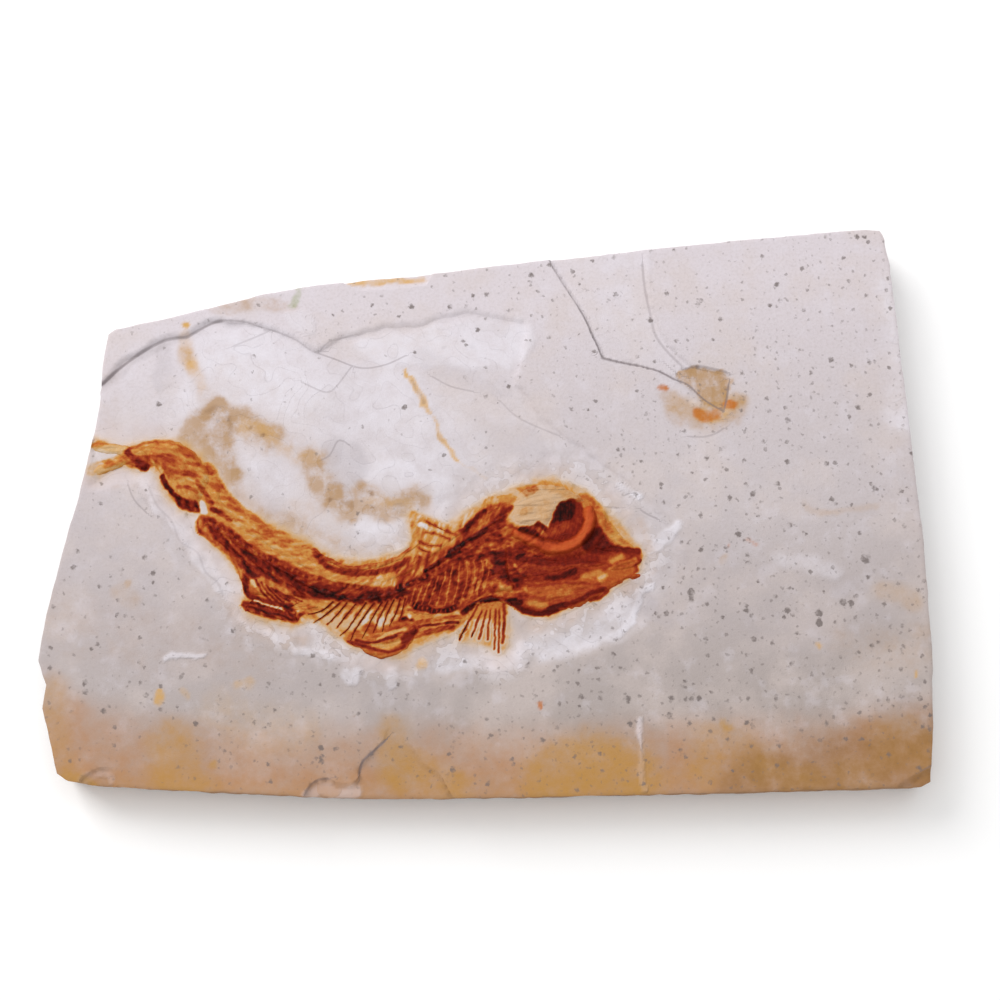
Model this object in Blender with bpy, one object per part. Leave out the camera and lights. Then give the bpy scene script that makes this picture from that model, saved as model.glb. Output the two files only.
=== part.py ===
"""Fossil fish in a plate of lithographic limestone, lying on its back with the fish facing up.

The plate is one stone: a split block with rough layered sides, a shallow hollow cleared around
the fish, a deeper trough along its bones, a strip where a thin flake has come away, and chips
along its rims. The fish is an arched skeleton whose bones are separate pieces in the trough.

Units in the values below are millimetres. +X runs along the plate from tail to snout, +Y across
it towards the belly-free side, +Z up out of the bedding face. The origin is under the middle of
the plate, on the face that it rests on.
"""
import math
import random

import bmesh
import bpy
from mathutils import Vector

MM = 0.001

# ---------------------------------------------------------------- driving dimensions (mm)
SLAB_TOP = 9.0          # thickness of the plate, up to its bedding face
RIM_BEVEL = 0.35        # worn upper and lower arrises
WALL_SPACING = 5.0      # length of one facet along the rough sides
WALL_JITTER = 0.35      # how far facets of the sides step in and out
BED_LEVEL = 8.4         # floor of the shallow hollow cleared around the fish
BED_DRAFT = 0.8         # horizontal run of the hollow's sloping side
TROUGH_LEVEL = 8.0      # floor of the deeper trough along the bones
TROUGH_DRAFT = 0.6
SCALLOP_PITCH = 3.2     # spacing of the chisel bites along the hollow's rim
SCALLOP_DEPTH = 0.5
SEAT_GAP = 0.3          # clearance between a bone and the stone under it
BONE_FLOOR = TROUGH_LEVEL + SEAT_GAP
CUT_ABOVE = 1.2         # how far the cutters reach above the bedding face

# Thickness of each bone above the trough's seat
TAIL_FIN_HEIGHT = 0.6
TAIL_STALK_HEIGHT = 1.1
BACKBONE_HEIGHT = 1.2
BAND_HEIGHT = 0.8
RAY_HEIGHT = 0.5
RIB_HEIGHT = 0.6
FIN_HEIGHT = 0.7
SKULL_HEIGHT = 1.3
EYE_FLOOR_HEIGHT = 0.5
EYE_RING_HEIGHT = 1.8

# ---------------------------------------------------------------- plate outline, one list a side
FAR_SIDE = [(-64.6, 30.0), (-55.4, 32.7), (-46.9, 34.9), (-38.4, 37.1), (-29.9, 38.7), (-21.3, 39.8),
            (-4.1, 41.5), (11.0, 43.4), (26.1, 45.1), (43.3, 46.9), (60.6, 48.5), (65.7, 48.9),
            (68.1, 48.7)]
SNOUT_SIDE = [(68.9, 46.9), (69.7, 41.4), (70.9, 24.8), (72.2, 9.1), (73.4, -6.4), (73.8, -16.5),
              (74.0, -26.1), (73.7, -36.5), (73.0, -46.1)]
NEAR_SIDE = [(71.3, -47.0), (57.4, -47.5), (32.9, -48.1), (8.5, -48.6), (-7.8, -48.9), (-24.1, -48.8),
             (-40.5, -48.0), (-56.8, -47.2), (-64.5, -46.6), (-68.4, -45.9)]
TAIL_SIDE = [(-70.1, -44.8), (-71.5, -39.6), (-72.9, -34.0), (-72.5, -30.2), (-74.0, -26.2),
             (-73.1, -19.0), (-71.0, -8.9), (-68.6, 1.3), (-66.5, 11.7), (-65.7, 17.3), (-65.4, 24.3)]

# Levels of the layered sides: height, then how far that bed steps back from the outline
WALL_BEDS = [(0.0, 1.0), (0.5, 0.4), (2.3, 0.5), (2.6, 0.9), (4.8, 0.7), (5.1, 0.2), (7.2, 0.3),
             (SLAB_TOP - RIM_BEVEL, 0.0), (SLAB_TOP, RIM_BEVEL)]

# ---------------------------------------------------------------- hollows and chips in the face
BED_RIM = [(-72.0, 17.5), (-65.1, 21.7), (-60.5, 26.3), (-55.3, 29.3), (-49.7, 31.0), (-45.0, 32.6),
           (-37.9, 31.2), (-32.2, 28.9), (-29.1, 26.9), (-25.7, 28.6), (-22.3, 30.1), (-14.2, 31.4),
           (-3.4, 33.7), (7.1, 32.3), (6.9, 28.9), (5.2, 21.8), (10.0, 13.1), (14.3, 9.3),
           (19.3, 5.5), (24.3, 2.4), (28.3, -1.1), (30.5, -5.9), (30.4, -11.8), (27.7, -18.0),
           (22.3, -22.7), (12.4, -25.1), (4.5, -27.2), (-5.5, -27.2), (-10.8, -28.7), (-17.7, -28.2),
           (-24.3, -26.6), (-30.7, -23.4), (-37.0, -20.8), (-41.9, -17.6), (-44.4, -13.6),
           (-47.7, -9.4), (-51.7, -4.4), (-55.2, -0.2), (-57.4, 3.0), (-61.5, 3.7), (-72.0, 3.6)]
TROUGH_RIM = [(-71.5, 12.3), (-60.1, 12.0), (-54.2, 12.7), (-49.1, 11.4), (-43.6, 6.1), (-40.2, 0.1),
              (-35.3, -3.6), (-29.3, -5.4), (-26.0, -7.4), (-19.3, -8.4), (-14.3, -6.0),
              (-13.4, -1.6), (-8.6, -0.2), (-4.6, 0.6), (0.2, 2.9), (7.5, 5.4), (15.1, 5.0), (20.9, 1.8),
              (25.9, -3.8), (28.2, -7.9), (27.2, -12.3), (21.6, -16.6), (15.7, -19.3), (9.1, -20.4),
              (5.6, -20.2), (4.4, -25.7), (-4.9, -24.7), (-8.2, -23.2), (-10.8, -25.2),
              (-16.6, -26.9), (-23.6, -25.2), (-27.4, -22.2), (-31.6, -21.1), (-40.2, -19.1),
              (-41.9, -14.3), (-44.0, -9.8), (-49.5, -3.5), (-54.7, 1.6), (-57.4, 4.8), (-71.5, 4.4)]
STRIP_RIM = [(10.4, 46.5), (11.2, 42.3), (16.8, 33.2), (19.8, 25.7), (26.1, 24.2), (32.0, 22.0),
             (36.7, 18.5), (40.2, 16.4), (41.2, 22.5), (34.8, 24.3), (30.4, 29.3), (28.3, 33.9),
             (27.3, 38.9), (26.9, 49.0)]
NEAR_CHIP = [(-30.6, -51.0), (-28.6, -46.6), (-25.7, -45.6), (-23.0, -46.8), (-20.8, -45.1),
             (-20.3, -43.0), (-16.4, -39.3), (-14.0, -38.4), (-11.7, -40.2), (-7.4, -45.1),
             (-4.7, -51.0)]
TAIL_CHIP = [(-67.4, -50.0), (-65.5, -45.1), (-63.6, -43.8), (-61.0, -43.5), (-60.0, -45.1),
             (-59.4, -50.0)]
SNOUT_CHIP = [(66.8, -50.0), (69.1, -45.6), (71.4, -43.8), (76.0, -41.9), (76.0, -50.0)]
FAR_CHIP = [(-25.9, 42.0), (-21.6, 37.8), (-15.6, 38.2), (-10.6, 38.9), (-7.6, 44.0)]

# ---------------------------------------------------------------- bones: outlines and centre lines
TAIL_FIN = [(-66.0, 10.9), (-61.4, 10.4), (-57.3, 9.3), (-57.2, 6.7), (-58.4, 6.5), (-60.6, 7.4),
            (-64.3, 5.8), (-66.3, 5.3), (-66.5, 6.3), (-61.6, 8.7), (-65.8, 9.5)]
TAIL_STALK = [(-56.6, 9.6), (-55.0, 10.9), (-53.0, 11.3), (-50.8, 10.2), (-48.7, 8.6), (-47.0, 6.5),
              (-46.4, 5.1), (-47.1, 3.5), (-47.9, 1.3), (-48.4, -0.9), (-49.9, -0.2), (-51.7, 1.0),
              (-53.2, 2.9), (-54.5, 4.9), (-55.4, 6.7), (-56.6, 7.4)]
BACKBONE = [(-46.9, -2.6), (-43.6, -4.5), (-40.2, -6.7), (-34.3, -10.6), (-27.9, -14.2),
            (-21.7, -15.8), (-15.0, -14.7), (-11.6, -12.3), (-6.4, -8.5), (0.3, -3.6), (3.3, -1.4)]
BACKBONE_STEPS = 34
NERVE_SPINES = [(-45.6, 3.0), (-44.7, 0.6), (-41.6, -2.6), (-36.1, -6.4), (-29.2, -10.5),
                (-22.3, -13.0), (-15.6, -12.0), (-10.4, -9.0), (-5.3, -5.2), (-0.6, -1.8), (2.6, 0.3)]
BACK_RIDGE = [(-28.5, -7.4), (-27.0, -8.9), (-22.4, -10.5), (-16.6, -9.7), (-12.6, -7.4), (-10.9, -6.0)]
HIND_SPINES = [(-47.2, -4.3), (-43.9, -5.9), (-40.5, -8.1), (-34.6, -11.9), (-28.2, -15.6),
               (-25.5, -16.4), (-30.6, -15.9), (-37.0, -15.4), (-39.9, -14.9), (-41.2, -11.8),
               (-43.6, -7.6)]
ANAL_BAR = [(-39.8, -17.0), (-35.0, -18.2), (-31.2, -18.6)]
ANAL_TIPS = [(-38.6, -15.8), (-35.6, -16.4), (-31.0, -16.4), (-27.8, -17.0)]
BELLY_BAR = [(-26.6, -17.0), (-21.7, -17.2), (-17.6, -16.9), (-14.6, -16.1)]
BELLY_TIPS = [(-30.0, -19.2), (-26.7, -21.3), (-22.3, -21.9), (-17.8, -20.1), (-15.2, -18.6)]
RIB_BAR = [(-12.1, -14.9), (-10.2, -13.3), (-5.4, -9.6), (-0.6, -6.1)]
RIB_TIPS = [(-13.0, -16.4), (-9.5, -16.7), (-5.0, -16.2), (-2.2, -13.9), (-0.9, -10.8)]
KEEL = [(-13.3, -17.6), (-9.2, -18.2), (-6.0, -17.9), (-3.6, -16.9)]
PELVIC_BONE = [(-11.1, -19.8), (-7.5, -19.4), (-4.2, -19.0), (-4.4, -20.2), (-7.5, -21.4),
               (-10.2, -21.9), (-11.1, -21.5)]
PELVIC_FIN = [(-22.7, -23.2), (-20.5, -22.4), (-18.1, -21.3), (-16.1, -21.0), (-14.2, -20.1),
              (-11.7, -20.1), (-11.5, -21.7), (-12.8, -23.6), (-14.4, -24.9), (-16.7, -25.6),
              (-19.4, -24.8)]
PECTORAL_BAR = [(-0.7, -18.0), (1.4, -17.8), (3.3, -17.9)]
PECTORAL_TIPS = [(-4.3, -22.5), (-1.8, -23.4), (0.8, -24.0), (3.2, -24.8)]
DORSAL_BAR = [(-7.9, -4.6), (-6.3, -3.4), (-4.6, -2.1)]
DORSAL_TIPS = [(-12.0, -4.5), (-11.2, -2.9), (-9.2, -1.7)]
SHOULDER = [(-2.6, -17.0), (-0.9, -16.2), (1.1, -15.8), (3.0, -16.0), (4.4, -16.9)]
GILL_COVER = [(0.3, -8.2), (1.9, -7.0), (3.5, -6.5), (3.9, -9.3), (4.3, -11.9), (4.9, -13.6),
              (4.4, -14.9), (2.8, -14.6), (1.3, -14.6), (0.4, -11.3)]
CHEEK = [(4.4, -6.4), (6.4, -7.2), (9.1, -8.2), (11.8, -8.8), (14.1, -8.8), (16.5, -8.6),
         (19.1, -9.2), (20.6, -9.5), (19.8, -10.3), (17.4, -10.8), (14.9, -11.0), (12.4, -11.4),
         (9.9, -12.0), (7.1, -12.5), (5.3, -12.2), (4.5, -9.3)]
EYE_RING = [(4.8, -4.5), (6.5, -5.5), (8.7, -6.4), (11.3, -7.1), (13.5, -7.0), (15.5, -6.0),
            (16.8, -4.5), (17.5, -2.5), (17.3, -0.6)]
EYE_FLOOR = [(13.3, -0.6), (15.0, -0.6), (15.7, -1.8), (15.2, -3.8), (13.4, -5.1), (11.6, -5.3),
             (8.9, -4.7), (10.8, -3.7), (12.3, -2.5)]
SKULL_ROOF = [(4.3, -1.1), (5.0, 1.8), (7.6, 3.4), (10.2, 4.1), (13.0, 3.6), (15.6, 2.5), (17.0, 0.9),
              (15.4, 0.1), (13.0, 0.0), (12.0, -1.2), (10.9, -2.9), (9.6, -4.0), (7.4, -4.0),
              (5.0, -2.9)]
SNOUT = [(19.2, -0.3), (21.2, -2.0), (23.4, -4.5), (25.3, -6.6), (26.3, -7.8), (24.2, -8.3),
         (21.1, -8.6), (17.9, -7.9), (17.0, -7.2), (18.2, -5.4), (18.8, -3.1), (18.7, -1.1)]
UPPER_JAW = [(21.9, -9.2), (24.1, -8.9), (26.0, -8.7), (25.8, -9.7), (24.6, -10.6), (22.6, -11.1),
             (20.6, -11.1)]
LOWER_JAW = [(5.5, -13.6), (9.1, -13.0), (12.4, -12.2), (15.8, -11.7), (19.1, -11.9), (22.2, -11.8),
             (25.1, -11.1), (25.8, -11.9), (23.4, -13.0), (20.6, -14.7), (18.1, -16.1), (14.9, -17.4),
             (12.2, -18.2), (9.4, -18.7), (6.8, -17.9), (5.0, -16.4)]

# ---------------------------------------------------------------- finishes: colour, roughness
LIMESTONE = ((0.66, 0.62, 0.60, 1.0), 0.85)
DARK_BONE = ((0.16, 0.03, 0.01, 1.0), 0.35)
RED_BONE = ((0.34, 0.08, 0.02, 1.0), 0.40)
AMBER_BONE = ((0.52, 0.20, 0.04, 1.0), 0.45)
SANDY_BONE = ((0.60, 0.46, 0.27, 1.0), 0.80)


def clear_scene():
    """Remove everything that the scene holds at the start."""
    for thing in list(bpy.data.objects):
        bpy.data.objects.remove(thing, do_unlink=True)


def material(name, finish):
    """A plain Principled material of one colour and roughness."""
    colour, roughness = finish
    made = bpy.data.materials.get(name) or bpy.data.materials.new(name)
    made.use_nodes = True
    shader = made.node_tree.nodes["Principled BSDF"]
    shader.inputs["Base Color"].default_value = colour
    shader.inputs["Roughness"].default_value = roughness
    shader.inputs["Metallic"].default_value = 0.0
    return made


def add_object(name, bm, origin, surface=None, parent=None):
    """Turn a bmesh drawn in millimetres into an object whose origin is the given point."""
    bmesh.ops.translate(bm, verts=bm.verts, vec=-Vector(origin))
    bmesh.ops.scale(bm, verts=bm.verts, vec=(MM, MM, MM))
    bmesh.ops.recalc_face_normals(bm, faces=bm.faces)
    mesh = bpy.data.meshes.new(name)
    bm.to_mesh(mesh)
    bm.free()
    thing = bpy.data.objects.new(name, mesh)
    bpy.context.collection.objects.link(thing)
    thing.location = Vector(origin) * MM
    if parent is not None:
        thing.parent = parent
        thing.location = (Vector(origin) - Vector((0.0, 0.0, BONE_FLOOR))) * MM
    if surface is not None:
        mesh.materials.append(surface)
    return thing


def curve_point(points, index, share, closed):
    """A point of the Catmull-Rom curve through a list of 2D points."""
    count = len(points)

    def at(place):
        return Vector(points[place % count] if closed else points[min(max(place, 0), count - 1)])

    before, start, end, after = at(index - 1), at(index), at(index + 1), at(index + 2)
    square, cube = share * share, share * share * share
    return 0.5 * (2.0 * start + (end - before) * share
                  + (2.0 * before - 5.0 * start + 4.0 * end - after) * square
                  + (3.0 * start - before - 3.0 * end + after) * cube)


def smooth_path(points, steps):
    """An open smooth line through the points, cut into equal shares of its spans."""
    spans = len(points) - 1
    places = [min(step * spans / steps, spans - 1e-6) for step in range(steps + 1)]
    return [curve_point(points, int(place), place - int(place), False) for place in places]


def normals(points, closed):
    """Unit left-hand normals of a line of 2D points."""
    found = []
    for index, point in enumerate(points):
        before = points[index - 1] if closed or index else point
        after = points[(index + 1) % len(points)] if closed or index < len(points) - 1 else point
        run = Vector(after) - Vector(before)
        found.append(Vector((-run.y, run.x)).normalized())
    return found


def turned(points):
    """The closed outline, listed anticlockwise, so that its left-hand normals point inwards."""
    area = sum(a[0] * b[1] - b[0] * a[1] for a, b in zip(points, points[1:] + points[:1]))
    return points if area > 0.0 else points[::-1]


def spaced(points, spacing):
    """A closed outline with extra points, so that none of its sides is longer than spacing."""
    out = []
    for start, end in zip(points, points[1:] + points[:1]):
        start, end = Vector(start), Vector(end)
        pieces = max(1, round((end - start).length / spacing))
        out += [start.lerp(end, piece / pieces) for piece in range(pieces)]
    return out


def inset(points, distance):
    """A closed anticlockwise outline moved inwards, or outwards for a negative distance."""
    return [Vector(point) + inward * distance for point, inward in zip(points, normals(points, True))]


def stack(rings):
    """A closed solid through level rings of equal length, each a list of points and a height."""
    bm = bmesh.new()
    loops = []
    for outline, height in rings:
        verts = [bm.verts.new((point[0], point[1], height)) for point in outline]
        loops.append([bm.edges.new(pair) for pair in zip(verts, verts[1:] + verts[:1])])
    for lower, upper in zip(loops, loops[1:]):
        for low, high in zip(lower, upper):
            bm.faces.new((low.verts[0], low.verts[1], high.verts[1], high.verts[0]))
    for loop in (loops[0], loops[-1]):
        bmesh.ops.contextual_create(bm, geom=loop)
    return bm


def plate(name, outline, height, surface, parent, edge=0.35):
    """A low bone: a flat base, steep sides and a top that is drawn in by a sloping edge."""
    outline = turned([Vector(point) for point in outline])
    rings = [(outline, BONE_FLOOR), (outline, BONE_FLOOR + 0.6 * height),
             (inset(outline, edge), BONE_FLOOR + height)]
    middle = sum(outline, Vector((0.0, 0.0))) / len(outline)
    return add_object(name, stack(rings), (middle.x, middle.y, BONE_FLOOR), surface, parent)


def ridge(name, points, steps, half_width, height, surface, parent):
    """A domed bone along a smooth line; half_width and height are functions of the share run."""
    line = smooth_path(points, steps)
    bm = bmesh.new()
    loops = []
    for index, (centre, side) in enumerate(zip(line, normals(line, False))):
        share = index / steps
        wide, high = half_width(share), height(share)
        section = [(wide, 0.0), (wide * 0.8, high * 0.6), (0.0, high), (-wide * 0.8, high * 0.6),
                   (-wide, 0.0)]
        verts = [bm.verts.new((*(centre + side * across), BONE_FLOOR + up)) for across, up in section]
        loops.append([bm.edges.new(pair) for pair in zip(verts, verts[1:] + verts[:1])])
    for first, second in zip(loops, loops[1:]):
        bmesh.ops.bridge_loops(bm, edges=first + second)
    for loop in (loops[0], loops[-1]):
        bmesh.ops.contextual_create(bm, geom=loop)
    return add_object(name, bm, (*line[0], BONE_FLOOR), surface, parent)


def comb(name, bar, tips, count, bar_width, root_width, tip_width, height, surface, parent, bow=0.0):
    """Rays fused to a bar: count tapering rays run from the bar's line to the line of tips.

    The rays stand on the bar's left-hand side when tips lie there, and bow sideways by bow.
    """
    stations = 2 * count
    back = smooth_path(bar, stations)
    sides = normals(back, False)
    ends = smooth_path(tips, count - 1)
    towards = 1.0 if (ends[count // 2] - back[count]).dot(sides[count]) > 0.0 else -1.0
    outline = [point - side * towards * bar_width / 2 for point, side in zip(back, sides)]
    front = []
    for ray in range(count):
        root = back[2 * ray + 1] + sides[2 * ray + 1] * towards * bar_width / 2
        along = ends[ray] - root
        across = Vector((along.y, -along.x)).normalized() * towards
        middle = root + along * 0.55 + across * bow
        left, right = across * -1.0, across
        front += [root + left * root_width, middle + left * (root_width + tip_width) / 2,
                  ends[ray] + left * tip_width, ends[ray] + right * tip_width,
                  middle + right * (root_width + tip_width) / 2, root + right * root_width]
    if (front[0] - outline[0]).length < (front[-1] - outline[0]).length:
        front = front[::-1]
    outline = turned(outline + front)
    rings = [(outline, BONE_FLOOR), (outline, BONE_FLOOR + height)]
    return add_object(name, stack(rings), (*back[0], BONE_FLOOR), surface, parent)


def sloped_cutter(name, rim, floor, draft, tilt=(0.0, 0.0)):
    """A cutter with sloping sides whose floor lies at a height that may tilt along X and Y."""
    rim = turned([Vector(point) for point in rim])
    slope = draft / (SLAB_TOP - floor)
    rings = [(inset(rim, draft), floor), (inset(rim, -slope * CUT_ABOVE), SLAB_TOP + CUT_ABOVE)]
    bm = stack(rings)
    middle = sum(rim, Vector((0.0, 0.0))) / len(rim)
    bm.verts.ensure_lookup_table()
    for vert in bm.verts[:len(rim)]:
        vert.co.z += (vert.co.x - middle.x) * tilt[0] + (vert.co.y - middle.y) * tilt[1]
    cutter = add_object(name, bm, (middle.x, middle.y, floor))
    cutter.display_type = "WIRE"
    cutter.hide_render = True
    return cutter


def scalloped(rim, pitch, depth):
    """A hollow's rim with small bites along it: every second point is drawn in."""
    points = spaced(turned([Vector(point) for point in rim]), pitch)
    inward = normals(points, True)
    return [point + side * depth * (index % 2) for index, (point, side) in enumerate(zip(points, inward))]


def build_slab():
    """The limestone plate with its rough sides, hollows and chips."""
    rough = random.Random(11)
    outline = spaced(turned(FAR_SIDE + SNOUT_SIDE + NEAR_SIDE + TAIL_SIDE), WALL_SPACING)
    inward = normals(outline, True)
    rings = []
    for height, setback in WALL_BEDS:
        loose = 0.0 if height > SLAB_TOP - 2 * RIM_BEVEL else WALL_JITTER
        ring = [point + side * (setback + rough.random() * loose) for point, side in zip(outline, inward)]
        rings.append((ring, height))
    slab = add_object("slab", stack(rings), (0.0, 0.0, 0.0), material("limestone", LIMESTONE))
    cutters = [
        sloped_cutter("cut_bed", scalloped(BED_RIM, SCALLOP_PITCH, SCALLOP_DEPTH), BED_LEVEL, BED_DRAFT),
        sloped_cutter("cut_trough", TROUGH_RIM, TROUGH_LEVEL, TROUGH_DRAFT),
        sloped_cutter("cut_strip", STRIP_RIM, 8.5, 0.4, tilt=(0.012, 0.010)),
        sloped_cutter("cut_near_chip", NEAR_CHIP, 8.0, 0.5, tilt=(0.0, 0.09)),
        sloped_cutter("cut_tail_chip", TAIL_CHIP, 7.9, 0.4, tilt=(0.0, 0.12)),
        sloped_cutter("cut_snout_chip", SNOUT_CHIP, 7.8, 0.4, tilt=(-0.06, 0.08)),
        sloped_cutter("cut_far_chip", FAR_CHIP, 8.2, 0.4, tilt=(0.0, -0.14)),
    ]
    for cutter in cutters:
        cut = slab.modifiers.new(cutter.name, "BOOLEAN")
        cut.operation = "DIFFERENCE"
        cut.solver = "EXACT"
        cut.object = cutter
    return slab


def build_tail(fish):
    """The forked tail fin and the thick stalk that carries it."""
    amber = material("amber_bone", AMBER_BONE)
    plate("tail_fin", TAIL_FIN, TAIL_FIN_HEIGHT, amber, fish, edge=0.2)
    plate("tail_stalk", TAIL_STALK, TAIL_STALK_HEIGHT, amber, fish, edge=0.8)


def build_trunk(fish):
    """The backbone with its vertebrae, and the bands and combs of bones that lie along it."""
    dark = material("dark_bone", DARK_BONE)
    red = material("red_bone", RED_BONE)
    amber = material("amber_bone", AMBER_BONE)

    def vertebra(share):
        return 0.82 + 0.18 * math.cos(share * BACKBONE_STEPS * math.pi)

    ridge("backbone", BACKBONE, BACKBONE_STEPS, lambda share: 0.75 * vertebra(share),
          lambda share: BACKBONE_HEIGHT * vertebra(share), dark, fish)
    ridge("nerve_spines", NERVE_SPINES, 24, lambda share: 0.85 - 0.25 * abs(2.0 * share - 1.0),
          lambda share: BAND_HEIGHT, amber, fish)
    ridge("back_ridge", BACK_RIDGE, 12, lambda share: 0.3 + 0.25 * math.sin(math.pi * share),
          lambda share: BAND_HEIGHT, red, fish)
    plate("hind_spines", HIND_SPINES, BAND_HEIGHT, red, fish, edge=0.3)
    comb("belly_rays", BELLY_BAR, BELLY_TIPS, 11, 0.5, 0.16, 0.10, RAY_HEIGHT, dark, fish, bow=0.3)
    comb("ribs", RIB_BAR, RIB_TIPS, 10, 0.5, 0.22, 0.14, RIB_HEIGHT, amber, fish, bow=0.3)
    ridge("keel", KEEL, 12, lambda share: 0.42, lambda share: RIB_HEIGHT, dark, fish)


def build_fins(fish):
    """The anal, pelvic, pectoral and dorsal fins and the pelvic bone."""
    dark = material("dark_bone", DARK_BONE)
    red = material("red_bone", RED_BONE)
    amber = material("amber_bone", AMBER_BONE)
    comb("anal_fin", ANAL_BAR, ANAL_TIPS, 7, 1.5, 0.16, 0.10, FIN_HEIGHT, red, fish)
    plate("pelvic_fin", PELVIC_FIN, FIN_HEIGHT, red, fish, edge=0.3)
    plate("pelvic_bone", PELVIC_BONE, FIN_HEIGHT, amber, fish, edge=0.3)
    comb("pectoral_fin", PECTORAL_BAR, PECTORAL_TIPS, 7, 0.5, 0.18, 0.16, RAY_HEIGHT, dark, fish)
    comb("dorsal_fin", DORSAL_BAR, DORSAL_TIPS, 5, 0.6, 0.16, 0.10, RAY_HEIGHT, amber, fish, bow=-0.2)


def build_head(fish):
    """The shoulder arc and the bones of the skull, each its own piece."""
    dark = material("dark_bone", DARK_BONE)
    red = material("red_bone", RED_BONE)
    amber = material("amber_bone", AMBER_BONE)
    sandy = material("sandy_bone", SANDY_BONE)
    ridge("shoulder_arc", SHOULDER, 10, lambda share: 0.3 + 0.2 * math.sin(math.pi * share),
          lambda share: SKULL_HEIGHT, dark, fish)
    plate("gill_cover", GILL_COVER, SKULL_HEIGHT, red, fish)
    plate("cheek", CHEEK, SKULL_HEIGHT, red, fish)
    plate("eye_floor", EYE_FLOOR, EYE_FLOOR_HEIGHT, dark, fish, edge=0.2)
    ridge("eye_ring", EYE_RING, 20, lambda share: 0.35 + 0.45 * math.sin(math.pi * share) ** 0.6,
          lambda share: EYE_RING_HEIGHT * (0.55 + 0.45 * math.sin(math.pi * share) ** 0.6), amber, fish)
    plate("skull_roof", SKULL_ROOF, SKULL_HEIGHT, sandy, fish, edge=0.5)
    plate("snout", SNOUT, SKULL_HEIGHT, red, fish, edge=0.5)
    plate("upper_jaw", UPPER_JAW, SKULL_HEIGHT, amber, fish, edge=0.25)
    plate("lower_jaw", LOWER_JAW, SKULL_HEIGHT, amber, fish, edge=0.6)


def main():
    """Build the plate, then the fish in its trough."""
    clear_scene()
    build_slab()
    fish = bpy.data.objects.new("fish", None)
    bpy.context.collection.objects.link(fish)
    fish.location = (0.0, 0.0, BONE_FLOOR * MM)
    build_tail(fish)
    build_trunk(fish)
    build_fins(fish)
    build_head(fish)


main()
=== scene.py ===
"""Looks of the fossil fish slab: the limestone plate and the iron-stained skeleton fixed in it.

Places on the bedding face are given where the camera's frame of 1000 by 1000 shows them, and
sizes are in millimetres. Meshes are made in metres.
"""

import logging
import math
from collections.abc import Mapping, Sequence
from dataclasses import dataclass
from enum import Enum

import bmesh
import bpy
import numpy as np
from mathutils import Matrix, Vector


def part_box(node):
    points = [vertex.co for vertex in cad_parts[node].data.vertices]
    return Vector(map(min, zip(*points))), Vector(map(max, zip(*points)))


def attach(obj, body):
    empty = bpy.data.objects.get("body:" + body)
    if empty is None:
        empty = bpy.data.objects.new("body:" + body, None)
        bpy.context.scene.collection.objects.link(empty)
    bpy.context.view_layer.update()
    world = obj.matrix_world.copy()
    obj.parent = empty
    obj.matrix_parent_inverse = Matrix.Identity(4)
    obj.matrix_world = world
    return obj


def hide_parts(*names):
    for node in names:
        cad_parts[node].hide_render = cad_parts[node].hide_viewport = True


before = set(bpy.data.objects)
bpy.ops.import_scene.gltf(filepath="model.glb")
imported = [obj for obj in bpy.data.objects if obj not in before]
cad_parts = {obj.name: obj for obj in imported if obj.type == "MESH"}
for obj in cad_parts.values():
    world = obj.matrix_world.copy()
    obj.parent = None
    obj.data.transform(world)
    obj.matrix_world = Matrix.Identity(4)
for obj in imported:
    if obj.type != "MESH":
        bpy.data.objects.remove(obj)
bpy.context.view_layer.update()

LOG = logging.getLogger("fossil_fish")
MM = 0.001
Place = tuple[float, float]
Places = tuple[float, ...] | tuple[Place, ...]
Socket = bpy.types.NodeSocket
Setting = float | int | str | bool | tuple | Socket

# The camera: where it looks, from how high and how far (mm), and its lens
FACE_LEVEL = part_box("slab")[1].z / MM
AIM = (2.434, 0.978)
ELEVATION = math.radians(78.0)
DISTANCE = 350.0
LENS = 75.0
SENSOR = 36.0
FRAME_SIDE = 1000.0

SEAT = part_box("backbone")[0].z / MM  # the level that the bones lie on
UNBOUND = 1e9  # a reach that leaves no point out
GROUP = 12  # stretches of a line that are measured together

# The plate's four sides as rows of corners (mm), each a chipped, nearly straight break
FAR_SIDE = ((-64.6, 30.0), (-63.2, 31.0), (-55.4, 32.7), (-46.9, 34.9), (-38.4, 37.1), (-29.9, 38.7),
            (-21.3, 39.8), (-4.1, 41.5), (11.0, 43.4), (26.1, 45.1), (43.3, 46.9), (60.6, 48.5),
            (65.7, 48.9), (68.1, 48.6), (68.9, 46.9))
SNOUT_SIDE = ((73.0, -46.1), (73.7, -36.5), (74.0, -26.1), (73.8, -16.5), (73.4, -6.4), (72.2, 9.1),
              (70.9, 24.8), (69.7, 41.4), (68.9, 46.9))
NEAR_SIDE = ((-70.1, -44.8), (-68.4, -45.9), (-64.5, -46.6), (-56.8, -47.2), (-40.5, -48.0),
             (-24.1, -48.8), (-7.8, -48.9), (8.5, -48.6), (32.9, -48.1), (57.4, -47.5), (71.3, -47.0),
             (73.0, -46.1))
TAIL_SIDE = ((-70.1, -44.8), (-71.5, -39.6), (-72.9, -34.0), (-72.5, -30.2), (-73.3, -28.4),
             (-74.0, -26.2), (-73.1, -19.0), (-71.0, -8.9), (-68.6, 1.3), (-66.5, 11.7), (-65.7, 17.3),
             (-65.4, 24.3), (-64.6, 30.0))


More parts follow.
